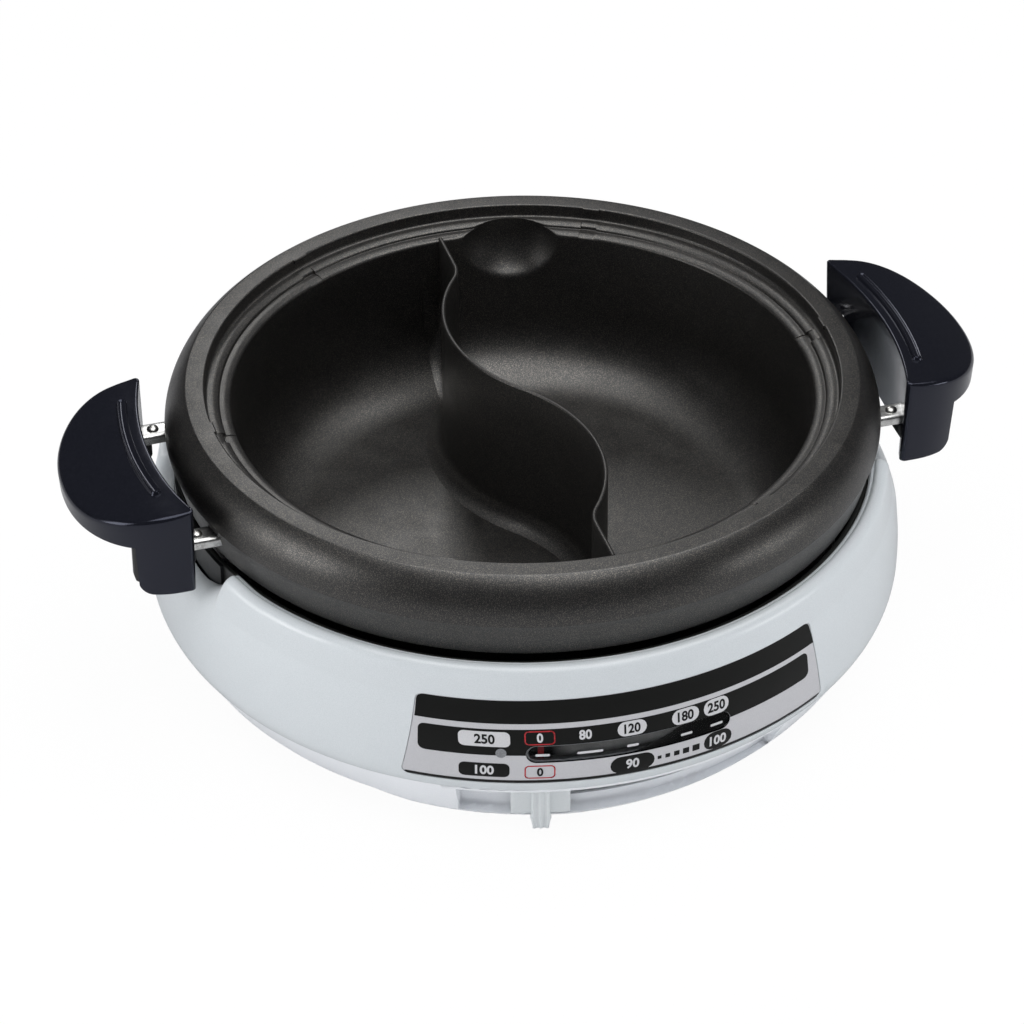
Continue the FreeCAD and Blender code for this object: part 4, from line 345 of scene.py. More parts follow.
def finish(made, body, finish_of, nodes=(), sharp_deg=32.0):
    """Shade a piece, give it its material and hang it on its body."""
    made.data.materials.clear()
    made.data.materials.append(finish_of)
    made.data.shade_smooth()
    made.data.set_sharp_from_angle(angle=math.radians(sharp_deg))
    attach(made, body)
    if nodes:
        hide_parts(*nodes)
    return made


def node_copy(node):
    """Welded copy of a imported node, for smooth shading."""
    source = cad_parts[node]
    mesh = source.data.copy()
    tidy = bmesh.new()
    tidy.from_mesh(mesh)
    bmesh.ops.remove_doubles(tidy, verts=tidy.verts, dist=0.004 * MM)
    tidy.to_mesh(mesh)
    tidy.free()
    return new_object(node + "_body", mesh)


# ================================================================ materials
def linear(hex_colour):
    """Linear colour of an sRGB hex value."""
    channels = [int(hex_colour[i:i + 2], 16) / 255 for i in (1, 3, 5)]
    return [c / 12.92 if c <= 0.04045 else ((c + 0.055) / 1.055) ** 2.4 for c in channels] + [1.0]


def add(tree, kind, values=None, links=None, stops=(), **settings):
    """One node with its settings, socket values, incoming links and colour stops."""
    made = tree.nodes.new(kind)
    for name, value in settings.items():
        setattr(made, name, value)
    for name, value in (values or {}).items():
        made.inputs[name].default_value = value
    for name, source in (links or {}).items():
        tree.links.new(source, made.inputs[name])
    if stops:
        elements = made.color_ramp.elements
        for _ in stops[2:]:
            elements.new(0.5)
        for element, (place, colour) in zip(elements, stops):
            element.position = place
            element.color = colour
    return made


def grey(level):
    """Linear grey, the same in all channels."""
    return (level, level, level, 1.0)


# Patches of wear and the height of all relief, in millimetres. The grains of moulded, sprayed
# and printed surfaces are finer than this on the real ones; they are drawn so that they show.
WEAR_MM, RELIEF_MM = 14.0, 0.05


def surface(name, grain_mm, pale, dark, values, bump, bump_mm, rough, spread=(0.35, 0.65)):
    """Finish whose colour, roughness and relief wander in grains of a given size."""
    made = bpy.data.materials.new(name)
    made.use_nodes = True
    tree = made.node_tree
    tree.nodes.clear()
    out = add(tree, "ShaderNodeOutputMaterial")
    shader = add(tree, "ShaderNodeBsdfPrincipled", values)
    tree.links.new(shader.outputs["BSDF"], out.inputs["Surface"])
    place = add(tree, "ShaderNodeTexCoord").outputs["Object"]
    grain = add(tree, "ShaderNodeTexNoise", {"Scale": 1.0 / (grain_mm * MM), "Detail": 3.0},
                {"Vector": place})
    tone = add(tree, "ShaderNodeValToRGB", links={"Fac": grain.outputs["Fac"]},
               stops=[(spread[0], linear(dark)), (spread[1], linear(pale))])
    tree.links.new(tone.outputs["Color"], shader.inputs["Base Color"])
    wear = add(tree, "ShaderNodeTexNoise", {"Scale": 1.0 / (WEAR_MM * MM), "Detail": 4.0},
               {"Vector": place})
    level = add(tree, "ShaderNodeValToRGB", links={"Fac": wear.outputs["Fac"]},
                stops=[(0.3, grey(rough[0])), (0.7, grey(rough[1]))])
    tree.links.new(level.outputs["Color"], shader.inputs["Roughness"])
    fine = add(tree, "ShaderNodeTexNoise", {"Scale": 1.0 / (bump_mm * MM), "Detail": 2.0},
               {"Vector": place})
    relief = add(tree, "ShaderNodeBump", {"Strength": bump, "Distance": RELIEF_MM * MM},
                 {"Height": fine.outputs["Fac"]})
    tree.links.new(relief.outputs["Normal"], shader.inputs["Normal"])
    return made


def painted_over(made):
    """Node tree of a finish, its shader and the colour that now reaches the shader."""
    shader = next(node for node in made.node_tree.nodes if node.type == "BSDF_PRINCIPLED")
    return made.node_tree, shader, shader.inputs["Base Color"].links[0].from_socket


def coating():
    """Black coat with flakes that give a soft, slightly warm sparkle.

    Real flakes are some 0.1 mm wide; these are coarser, so that they show.
    """
    made = surface("speckled_nonstick_coating", 0.5, "#0e0e0f", "#0a0a0b",
                   {"Specular IOR Level": 0.78}, 0.4, 0.8, (0.36, 0.43), (0.42, 0.75))
    tree, shader, coat = painted_over(made)
    place = add(tree, "ShaderNodeTexCoord").outputs["Object"]
    flakes = add(tree, "ShaderNodeTexNoise", {"Scale": 1.0 / (0.45 * MM), "Detail": 2.0},
                 {"Vector": place})
    shine = add(tree, "ShaderNodeValToRGB", links={"Fac": flakes.outputs["Fac"]},
                stops=[(0.54, grey(0.0)), (0.6, grey(1.0))]).outputs["Color"]
    mix = add(tree, "ShaderNodeMix", {7: linear("#77736d")}, {0: shine, 6: coat}, data_type="RGBA")
    tree.links.new(mix.outputs[2], shader.inputs["Base Color"])
    tree.links.new(shine, shader.inputs["Metallic"])
    return made


METAL = {"Metallic": 1.0}
COATING = coating()
# Moulded phenolic resin: near black with a blue cast, smooth enough to mirror the lamps softly. Its
# blue-white specular tint is a painted reflection: it makes what the handles mirror bluer.
PHENOLIC = surface("black_phenolic_moulding", 1.6, "#15161c", "#111218",
                   {"Specular Tint": linear("#dfe4ff")}, 0.04, 0.9, (0.13, 0.19))
# Unpolished moulding: the same black, but dull.
LINER = surface("black_liner_plastic", 1.2, "#101115", "#0a0b0d", {}, 0.15, 0.7, (0.34, 0.46))
# Pressed stainless sheet: bright, with blurred reflections.
STEEL = surface("pressed_bright_steel", 2.5, "#dededc", "#bcbcba", METAL, 0.12, 0.4, (0.22, 0.36))
# Nickel-plated steel of rivets and screws: a little warmer than the sheet.
FASTENER = surface("plated_screw_steel", 1.5, "#d8d7d3", "#adaca8", METAL, 0.1, 0.4, (0.22, 0.34))
# Sprayed pearl lacquer under a thin clear coat: cool white that stays bright at a slant. Its mica
# is finer than this grain, which is drawn coarse enough to show.
PEARL = surface("pearl_white_lacquer", 0.45, "#dbe0e2", "#d1d7d9",
                {"Coat Weight": 0.4, "Coat Roughness": 0.14}, 0.04, 0.5, (0.3, 0.38))
# The pearl white moulded through and unlacquered: softer shine. Its colour is painted paler than
# the lacquer's, as painted light for the lower flank that sits in the shade of the casing above.
PEARL_BASE = surface("pearl_white_moulding_painted_paler", 0.45, "#f4f6f8", "#edf0f3", {}, 0.04, 0.5,
                     (0.38, 0.46))
KNOB_PEARL = surface("pearl_white_slider", 0.45, "#e2e6e6", "#dadfe0", {}, 0.04, 0.5, (0.32, 0.4))
# Heat-proof moulding: warm charcoal, almost matt.
GUARD = surface("charcoal_guard_plastic", 0.9, "#2c2d2b", "#222321", {}, 0.15, 0.7, (0.4, 0.5))
# Painted steel sheet: dark grey with a weak sheen.
SHIELD_GREY = surface("dark_grey_painted_sheet", 0.7, "#2c2d2e", "#252627",
                      {"Specular IOR Level": 0.25}, 0.06, 0.6, (0.3, 0.42))
# Printed film with a touch of metal powder: silver that darkens at a slant.
PANEL = surface("silver_printed_film", 0.3, "#d2d2d4", "#c4c4c7", {"Metallic": 0.2}, 0.03, 0.3,
                (0.36, 0.44))
# Screen-printed inks: flat colour with hardly any sheen.
INK_BLACK = surface("black_ink", 0.6, "#0d0e0c", "#090a08", {"Specular IOR Level": 0.22}, 0.03,
                    0.5, (0.36, 0.44))
INK_PALE = surface("silver_ink", 0.4, "#d8d8d9", "#cbcbcd", {}, 0.03, 0.3, (0.36, 0.44))
INK_RED = surface("red_ink", 0.5, "#b8262d", "#ab1f26", {"Specular IOR Level": 0.3}, 0.03, 0.4,
                  (0.36, 0.44))
# Moulded ABS of the pointer and the scale: even colour, satin.
RED = surface("red_pointer_plastic", 0.8, "#d8343a", "#c82a31", {}, 0.05, 0.5, (0.3, 0.42))
SCALE_GREY = surface("pale_scale_plastic", 0.8, "#c2c4c1", "#b4b6b3", {}, 0.08, 0.6,
                     (0.44, 0.56))
# Moulded rubber: dark grey and matt.
RUBBER = surface("grey_foot_rubber", 0.8, "#3a3b3d", "#2c2d2f", {}, 0.4, 0.5, (0.74, 0.86))
# Rolled aluminium: pale, with broad blurred reflections.
ALUMINIUM = surface("bare_aluminium_sheet", 3.0, "#d4d5d6", "#b9bbbd", METAL, 0.2, 0.6,
                    (0.22, 0.38))
# Steel tube that has glowed: brownish and dull.
SHEATH = surface("heated_steel_sheath", 4.0, "#6d665f", "#4b4642", METAL, 0.25, 0.6,
                 (0.38, 0.55))
# Fired steatite without glaze: chalky cream.
CERAMIC = surface("unglazed_ceramic", 1.0, "#e4dfd4", "#d3cdc0", {}, 0.3, 0.5, (0.62, 0.78))
# Drawn brass: yellow and fairly bright.
BRASS = surface("contact_brass", 1.5, "#d8b56a", "#b8934b", METAL, 0.1, 0.4, (0.2, 0.36))
# Pressed phenolic and nylon blocks: plain colours, satin.
BROWN = surface("brown_phenolic_block", 1.2, "#5a3a26", "#452b1b", {}, 0.15, 0.6, (0.44, 0.56))
CREAM = surface("cream_nylon_block", 1.2, "#e2dcc6", "#d4cdb4", {}, 0.1, 0.6, (0.48, 0.62))
# Smoked polycarbonate of the pilot lamp: grey and glossy.
LENS = surface("smoked_lamp_lens", 0.8, "#8a8c8f", "#76787b", {}, 0.03, 0.5, (0.16, 0.26))
# Silicone insulation of the leads: clear colours, satin.
LEADS = {"lead_brown": ("#6b4226", "#553119"), "lead_blue": ("#2f5fa8", "#234b8a"),
         "lead_white": ("#e8e6e0", "#d8d5cc"), "lead_green": ("#4f9a3e", "#3d8030")}
LEAD_FINISH = {colour: surface(colour + "_insulation", 1.0, pale, dark, {}, 0.1, 0.6,
                               (0.44, 0.56))
               for colour, (pale, dark) in LEADS.items()}


def window_glass():
    """Smoke-tinted clear plastic: most light goes through, a little is mirrored."""
    made = bpy.data.materials.new("smoked_clear_window")
    made.use_nodes = True
    tree = made.node_tree
    tree.nodes.clear()
    out = add(tree, "ShaderNodeOutputMaterial")
    place = add(tree, "ShaderNodeTexCoord").outputs["Object"]
    swirl = add(tree, "ShaderNodeTexNoise", {"Scale": 1.0 / (6.0 * MM), "Detail": 2.0},
                {"Vector": place})
    tint = add(tree, "ShaderNodeValToRGB", links={"Fac": swirl.outputs["Fac"]},
               stops=[(0.3, grey(0.86)), (0.7, grey(0.92))])
    clear = add(tree, "ShaderNodeBsdfTransparent", links={"Color": tint.outputs["Color"]})
    gloss = add(tree, "ShaderNodeBsdfPrincipled", {"Base Color": grey(0.02), "Roughness": 0.08})
    edge = add(tree, "ShaderNodeFresnel", {"IOR": 1.5})
    mix = add(tree, "ShaderNodeMixShader", links={0: edge.outputs[0], 1: clear.outputs[0],
                                                  2: gloss.outputs[0]})
    tree.links.new(mix.outputs[0], out.inputs["Surface"])
    return made


def shaded_scale_strip():
    """Strip painted with shade: black at both ends and pale grey along the middle, darker upwards,
    as painted shade of the window's deep recess and its upper edge.
    """
    made = surface("scale_strip_painted_shade", 0.6, "#f2f3f0", "#e6e7e4", {}, 0.04, 0.5, (0.4, 0.5))
    tree, shader, pale = painted_over(made)
    place = add(tree, "ShaderNodeTexCoord").outputs["Object"]
    axes = add(tree, "ShaderNodeSeparateXYZ", links={0: place}).outputs
    along = add(tree, "ShaderNodeMapRange", {"From Min": -58 * MM, "From Max": 53 * MM},
                {"Value": axes["X"]})
    # Painted shade: the strip goes black towards both ends of the window.
    ends = add(tree, "ShaderNodeValToRGB", links={"Fac": along.outputs[0]},
               stops=[(0.12, grey(0.0)), (0.22, grey(0.75)), (0.8, grey(1.0)), (0.87, grey(0.05))])
    up = add(tree, "ShaderNodeMapRange", {"From Min": 57 * MM, "From Max": 67 * MM},
             {"Value": axes["Z"]})
    # Painted shadow of the window's upper edge: the strip darkens upwards.
    falls = add(tree, "ShaderNodeValToRGB", links={"Fac": up.outputs[0]},
                stops=[(0.0, grey(1.0)), (0.5, grey(0.6)), (0.9, grey(0.06))])
    shade = pale
    for painted_shade_ramp in (ends, falls):
        shade = add(tree, "ShaderNodeMix", {0: 1.0}, {6: shade, 7: painted_shade_ramp.outputs["Color"]},
                    data_type="RGBA", blend_type="MULTIPLY").outputs[2]
    tree.links.new(shade, shader.inputs["Base Color"])
    return made


WINDOW_FINISH = window_glass()
SCALE_SHADE_FINISH = shaded_scale_strip()


# ================================================================ pan
def fillet_centre():
    """Radius and height of the centre of the floor's fillet."""
    centre_z = FLOOR_Z + FLOOR_FILLET
    rise = (LEDGE_2_Z - centre_z + FLOOR_FILLET * math.sin(DRAFT)) / math.cos(DRAFT)
    return LEDGE_2_R - FLOOR_FILLET * math.cos(DRAFT) - rise * math.sin(DRAFT), centre_z


def fillet_line(grow, steps):
    """Floor fillet on a surface moved outwards by grow, from the floor up to the wall."""
    centre_r, centre_z = fillet_centre()
    radius = FLOOR_FILLET + grow
    sweep = math.pi / 2 - DRAFT
    return [(centre_r + radius * math.sin(sweep * i / steps),
             centre_z - radius * math.cos(sweep * i / steps)) for i in range(steps + 1)]


def wall_r(z, grow=0.0):
    """Radius of the pan's wall at a height, moved outwards by grow."""
    return LEDGE_2_R + grow / math.cos(DRAFT) - (LEDGE_2_Z - z) * math.tan(DRAFT)


def swell(inset):
    """Swollen upper face of the apron, from under the ring to the crease."""
    chord_r, chord_z = APRON_R - RING_OUT_R, RING_TOP_Z - CREASE_Z
    out = SWELL_OUT / math.hypot(chord_r, chord_z)
    middle = ((RING_OUT_R + APRON_R) / 2 + out * chord_z - inset,
              RING_TOP_Z - chord_z / 2 + out * chord_r - inset * chord_r / chord_z)
    top_z = RING_UNDER_Z if inset else RING_TOP_Z - RING_FALL - RING_EDGE_DROP
    return arc_through((RING_OUT_R - inset, top_z), middle, (APRON_R - inset, CREASE_Z), 14)


def pan_profile(notched):
    """Section of the pan from the middle of its floor over the ring to its underside."""
    inside = plain([(r, FLOOR_Z) for r in FLOOR_RADII] + fillet_line(0, 14))
    inside[-1] = (inside[-1][0], None, 20)
    cut = NOTCH_DEPTH if notched else 0.0
    step_r = LEDGE_1_R + cut
    shelf_z = LEDGE_2_Z - (NOTCH_DIP if notched else 0.0)
    foot_z = LEDGE_2_Z - NOTCH_FOOT
    inside += [((wall_r(z), z), 0.6, 0) for z in (foot_z - NOTCH_FOOT / 2, foot_z)]
    inside += [((LEDGE_2_R, shelf_z - LEDGE_CROWN), NOTCH_EDGE if notched else LEDGE_EDGE, 0),
               ((LEDGE_2_R + LEDGE_SLOPE, shelf_z), LEDGE_BEND, 2),
               ((step_r, shelf_z), 0.4, 2),
               ((step_r, LEDGE_1_Z - LEDGE_CROWN), 1.2, 0),
               ((step_r + LEDGE_SLOPE, LEDGE_1_Z), LEDGE_BEND, 2),
               ((RING_IN_R, LEDGE_1_Z), 1.4, 2)]
    tab_z = RING_TOP_Z - TAB_THICK
    if notched:
        tab_r = RING_IN_R - TAB_REACH
        inside += [((RING_IN_R, tab_z), 0.2, 0), ((tab_r, tab_z), 0.3, 0),
                   ((tab_r, RING_TOP_Z), 0.8, 3)]
    else:
        inside += [((RING_IN_R, tab_z), 0.4, 0), ((RING_IN_R, tab_z + 1.0), 0.4, 0),
                   ((RING_IN_R, RING_TOP_Z), 1.0, 3)]
    face = swell(0)
    face.insert(-1, tuple(Vector(face[-1]).lerp(Vector(face[-2]), 0.2)))
    outside = [((RING_IN_R + 3.5, RING_TOP_Z - 0.1), 2.0, 0),
               ((RING_OUT_R - 1.0, RING_TOP_Z - RING_FALL), 1.6, 0)]
    outside += plain(face)
    outside += [((APRON_R - 0.26, CREASE_Z - 0.6), None, 0),
                ((APRON_R - 1.2, CREASE_Z - 2.6), None, 5), ((APRON_EDGE_R, APRON_EDGE_Z), 0.8, 0),
                ((APRON_EDGE_R - APRON_WALL, APRON_EDGE_Z), 0.8, 4)]
    outside += plain(reversed(swell(APRON_WALL)))
    shelf_1, shelf_2 = LEDGE_1_Z - PAN_WALL, LEDGE_2_Z - PAN_WALL
    ring_r, step_r = RING_IN_R + PAN_WALL, LEDGE_1_R + PAN_WALL
    under = [((ring_r, RING_UNDER_Z), 0.5, 1), ((ring_r, shelf_1), 0.8, 1),
             ((step_r, shelf_1), 0.5, 1), ((step_r, shelf_2), 0.8, 1),
             ((wall_r(shelf_2, PAN_WALL), shelf_2), 0.5, 12)]
    under += plain(reversed(fillet_line(PAN_WALL, 12)))
    under += plain((r, FLOOR_Z - PAN_WALL) for r in (90, 60, 30, 10, 0))
    return run(inside + outside + under)


def scooped(point, radius, centre):
    """Push a point off the ball that hollows the ladle rest, with a soft lip."""
    away = Vector(point) - centre
    gap = away.length
    if gap > radius + SCOOP_REACH:
        return point
    return tuple(centre + away * (soft_max(gap, radius, SCOOP_SOFT) / gap))


def pan_angles():
    """(angle, notched) of every column, fine at the notches and at the ladle rest."""
    half = math.degrees(NOTCH_WIDTH / 2 / LEDGE_1_R)
    pitch = 360.0 / NOTCH_COUNT

    def clear(angle):
        return abs((angle + pitch / 2) % pitch - pitch / 2) > half + 0.3

    angles = [i * PAN_STEP_DEG for i in range(round(360 / PAN_STEP_DEG))]
    angles = [(angle, False) for angle in angles if clear(angle)]
    for i in range(NOTCH_COUNT):
        middle = i * pitch
        for side in (-1, 1):
            angles.append(((middle + side * (half + 0.06)) % 360, False))
            angles += [((middle + side * half * share) % 360, True) for share in (1.0, 0.93, 0.5)]
        angles.append((middle, True))
    for i in range(70):
        angle = SCOOP_DEG - 17.0 + i * 0.5
        if clear(angle) and all(abs(angle - a) > 0.15 for a, _ in angles):
            angles.append((angle, False))
    return sorted(angles)


def make_pan():
    """Pan casting without its divider, with a hard crease round the apron."""
    profiles = {False: pan_profile(False), True: pan_profile(True)}
    ball = Vector(at_angle(SCOOP_CENTRE_R, SCOOP_DEG, SCOOP_Z))
    top_row = max(range(len(profiles[False])), key=lambda k: profiles[False][k][1])
    columns = []
    for angle, notched in pan_angles():
        column = []
        for k, (r, z) in enumerate(profiles[notched]):
            point = at_angle(r, angle, z)
            if k <= top_row:
                point = scooped(point, SCOOP_R, ball)
            elif r < RING_IN_R + PAN_WALL - 1 and FLOOR_Z + 20 < z < RING_UNDER_Z - 2:
                point = scooped(point, SCOOP_R + SCOOP_WALL, ball)
            column.append(point)
        columns.append(column)
    verts, faces = turned_rows(columns, loop=False)
    pan = new_object("divided_pan_casting", new_mesh("divided_pan_casting", verts, faces))
    finish(pan, "pan", COATING, ("divided_pan",))
    for edge in pan.data.edges:
        ends = [pan.data.vertices[v].co / MM for v in edge.vertices]
        if all(abs(p.z - CREASE_Z) < 0.05 and p.xy.length > APRON_R - 0.1 for p in ends):
            edge.use_edge_sharp = True
    return pan


def inner_height(r):
    """Height of the pan's inner surface over a point at this radius."""
    centre_r, centre_z = fillet_centre()
    if r <= centre_r:
        return FLOOR_Z
    end_r = centre_r + FLOOR_FILLET * math.cos(DRAFT)
    if r < end_r:
        return centre_z - math.sqrt(FLOOR_FILLET ** 2 - (r - centre_r) ** 2)
    return min(LEDGE_2_Z, LEDGE_2_Z - (LEDGE_2_R - r) / math.tan(DRAFT))


def divider_line():
    """Points of the S in plan, from the -Y wall to the +Y wall."""
    lean, turn = DIVIDER_CROSS, DIVIDER_TURN
    first = DIVIDER_ARC_IN * Vector((math.cos(lean), math.sin(lean)))
    second = first + Vector((DIVIDER_ARC_OUT - DIVIDER_ARC_IN, 0))
    third = second + (DIVIDER_ARC_OUT + DIVIDER_KINK_R) * Vector((-math.cos(turn), math.sin(turn)))
    bends = [(first, -DIVIDER_ARC_IN, [lean * (i / 46 - 1) for i in range(46)]),
             (second, -DIVIDER_ARC_OUT, [turn * i / 36 for i in range(36)]),
             (third, DIVIDER_KINK_R, [turn * (i / 16 - 1) for i in range(17)])]
    half = [centre + Vector((radius * math.cos(angle), abs(radius) * math.sin(angle)))
            for centre, radius, angles in bends for angle in angles]
    end = half[-1]
    left = LEDGE_2_R + DIVIDER_INTO_WALL - end.y
    half += [Vector((end.x, end.y + left * i / 12)) for i in range(1, 13)]
    return [-p for p in reversed(half[1:])] + half


def make_divider():
    """Thin S-shaped wall with a rounded crest and a flared foot that follows the pan."""
    line = divider_line()
    half = DIVIDER_THICK / 2
    foot = [(half + DIVIDER_FOOT_R * (1 - math.sin(math.radians(a))),
             DIVIDER_FOOT_R * (1 - math.cos(math.radians(a)))) for a in range(0, 91, 10)]
    crest = [(half * math.cos(math.radians(a)), DIVIDER_CREST * (math.sin(math.radians(a)) - 1))
             for a in (0, 22, 45, 68, 90)]
    rows = []
    for i, point in enumerate(line):
        heading = (line[min(i + 1, len(line) - 1)] - line[max(i - 1, 0)]).normalized()
        side = Vector((-heading.y, heading.x))
        row = []
        for sign in (1, -1):
            wing = []
            for across, high in foot:
                at = point + side * across * sign
                ground = inner_height(at.length) + (high or -0.5)
                wing.append((at.x, at.y, min(ground, DIVIDER_TOP_Z - 1.0)))
            flank_z = wing[-1][2]
            for share in (0.25, 0.5, 0.75):
                at = point + side * half * sign
                wing.append((at.x, at.y, flank_z + (DIVIDER_TOP_Z - 0.95 - flank_z) * share))
            for across, down in crest:
                at = point + side * across * sign
                wing.append((at.x, at.y, DIVIDER_TOP_Z + down))
            row += wing if sign == 1 else wing[-2::-1]
        root_z = min(inner_height(point.length), DIVIDER_TOP_Z - 3.0) - DIVIDER_ROOT
        rows.append(row + [(point.x, point.y, root_z)])
    wall = new_object("pan_divider", new_mesh("pan_divider", *loft(rows)))
    return finish(wall, "pan", COATING)


# ================================================================ base casing
def skin_line():
    """Outer skin of the upper casing, from the parting line up to the top of the lip."""
    foot = (PARTING_R + 0.2, PARTING_Z + PARTING_GAP)
    flank = (208.6, 39.0)
    belly = (BELLY_R - 0.1, BELLY_Z - 9.0)
    upper = (BELLY_R - 0.9, (BELLY_Z + SHOULDER_Z) / 2 - 2.0)
    shoulder = (SHOULDER_R, SHOULDER_Z)
    neck = ((SHOULDER_R + LIP_R) / 2 + 0.25, (SHOULDER_Z + LIP_Z) / 2)
    crown = (LIP_TOP_R + LIP_ROUND * math.sin(math.radians(37)),
             LIP_TOP_Z - LIP_ROUND * (1 - math.cos(math.radians(37))))
    line = arc_through(foot, flank, belly, 10)
    line += arc_through(belly, upper, shoulder, 20)[1:]
    line += arc_through(shoulder, neck, (LIP_R, LIP_Z), 16)[1:]
    line += arc_through((LIP_R, LIP_Z), crown, (LIP_TOP_R, LIP_TOP_Z), 12)[1:]
    return line


SKIN = skin_line()
SKIN_R = [(z, r) for r, z in SKIN]
BEAD = [(197.2, 111.7), (196.6, 111.2), (196.2, 110.6), (195.9, 110.1), (195.6, 109.85),
        (195.3, 110.2), (194.9, 110.4), (194.45, 110.35), (194.15, 110.1), (194.0, 109.7),
        (193.75, 109.55), (193.5, 109.2)]
SADDLE_EDGE = [(0, 90.0), (30, 90.0), (40, 91.0), (53, 95.4), (62, 100.6), (69, 106.5), (77, 110.0)]


def rolled(share, edge_z):
    """Point of the rounded surface that falls from the skin to a saddle's inner edge."""
    start = (look_up(SKIN_R, SADDLE_START_Z), SADDLE_START_Z)
    rise = (start[0] - 0.9, SADDLE_START_Z + 0.62 * (edge_z - SADDLE_START_Z))
    brow = (SADDLE_BROW_R, edge_z + SADDLE_BROW)
    end = (SADDLE_IN_R, edge_z)
    u = 1 - share
    weights = (u ** 3, 3 * u * u * share, 3 * u * share * share, share ** 3)
    return tuple(sum(w * p[axis] for w, p in zip(weights, (start, rise, brow, end)))
                 for axis in (0, 1))


def casing_column(half_y):
    """Section of the casing's wall at a distance from the X axis: lip, saddle or between."""
    full = SKIN + BEAD
    share = eased(way_along(half_y, SADDLE_CLEAR_Y, SADDLE_FULL_Y))
    first = next(k for k, (r, z) in enumerate(full) if z > SADDLE_START_Z)
    edge_z = look_up(SADDLE_EDGE, half_y)
    column = list(full[:first])
    rise = LIP_LIFT + HORN_LIFT * math.exp(-((half_y - HORN_Y) / HORN_WIDE) ** 2)
    for k in range(first, len(full)):
        r, z = full[k]
        tall = (r, z + rise * eased(way_along(z, LIFT_FROM_Z, LIFT_FROM_Z + LIFT_REACH)))
        low = rolled((k - first + 1) / (len(full) - first), edge_z)
        column.append(tuple(f + (g - f) * share for f, g in zip(tall, low)))
    mouth_r, top = column[-1]
    column += [(mouth_r, top - 1.2), (mouth_r, top - 3.4)]
    under = top - 3.6
    for i in range(18):
        z = under + (PARTING_Z + PARTING_GAP - under) * i / 17
        column.append((look_up(SKIN_R, min(z + 2.0, LIP_Z)) - CASING_WALL, z))
    return column


def casing_angles():
    """Column angles: fine where the lip runs down into a saddle."""
    angles = [i * 0.75 for i in range(480)]
    extra = []
    for middle in (0, 180):
        for side in (-1, 1):
            for i in range(40):
                extra.append((middle + side * (14.1 + i * 0.25)) % 360)
    angles += [a for a in extra if all(abs(a - b) > 0.1 for b in angles)]
    return sorted(angles)


def make_upper_casing():
    """Casing skin with the panel's recess, the window and the inlet cut."""
    columns = []
    for angle in casing_angles():
        side = abs(math.sin(math.radians(angle)))
        section = casing_column(min(LIP_TOP_R * side, 300.0))
        columns.append([at_angle(r, angle, z) for r, z in section])
    verts, faces = turned_rows(columns, loop=True)
    shell = new_object("casing_shell", new_mesh("casing_shell", verts, faces))
    cut_out(shell, outline_mesh("panel_recess", panel_outline(0), -PANEL_RECESS, 4.0, 4.0))
    cut_out(shell, outline_mesh("window_hole", window_outline(1.2), -9.0, 3.0, 4.0))
    cut_out(shell, inlet_cutter())
    return finish(shell, "base", PEARL, ("upper_casing",), 28.0)


def cut_out(body, tool_mesh):
    """Take a tool's volume out of a body."""
    tool = new_object("cutter", tool_mesh)
    step = body.modifiers.new("cut", "BOOLEAN")
    step.operation = "DIFFERENCE"
    step.solver = "EXACT"
    step.object = tool
    bake(body)
    bpy.data.objects.remove(tool)


def inlet_cutter():
    """Rounded block through the rear wall."""
    half_x, low, high, corner_r = 17.25, 36.95, 55.05, 3.0
    corners = [(-half_x, low), (half_x, low), (half_x, high), (-half_x, high)]
    loop = rounded_loop(corners, corner_r, 5)
    rings = [[(x, y, z) for x, z in loop] for y in (186.0, 220.0)]
    return new_mesh("inlet_cutter", *loft(rings))


# ================================================================ panel, window and print
def rounded_loop(points, radius, steps=4):
    """Closed outline with every corner rounded."""
    loop = []
    for i, point in enumerate(points):
        loop += corner(points[i - 1], point, points[(i + 1) % len(points)], radius, steps)
    return loop


def panel_outline(shrink):
    """Outline of the control panel in (x, z), moved inwards by shrink."""
    low, top = PANEL_FOOT_Z + shrink, PANEL_TOP_Z - shrink
    left, right = PANEL_LEFT, PANEL_RIGHT
    return rounded_loop([(left[0] + shrink, low), (right[0] - shrink, low),
                         (right[1] - shrink, top), (left[1] + shrink, top)], PANEL_CORNER - shrink)


def window_outline(shrink):
    """Outline of the panel's window in (x, z), moved inwards by shrink."""
    radius = WINDOW_HALF - shrink
    left, right = WINDOW_LEFT + shrink, WINDOW_RIGHT - shrink
    points = [(left, WINDOW_Z - radius), (right, WINDOW_Z - radius),
              (right, WINDOW_Z + radius), (left, WINDOW_Z + radius)]
    return rounded_loop(points, radius * 0.98, 8)


def on_skin(x, z, offset):
    """Point on the casing's skin seen at (x, z) from the front, moved outwards by offset."""
    r = look_up(SKIN_R, z)
    angle = math.asin(max(-1.0, min(1.0, x / r)))
    return ((r + offset) * math.sin(angle), -(r + offset) * math.cos(angle), z)


def flat_mesh(loops):
    """Flat faces from outlines in (x, z)."""
    sheet = bmesh.new()
    for loop in loops:
        sheet.faces.new([sheet.verts.new((x, z, 0)) for x, z in loop])
    return sheet


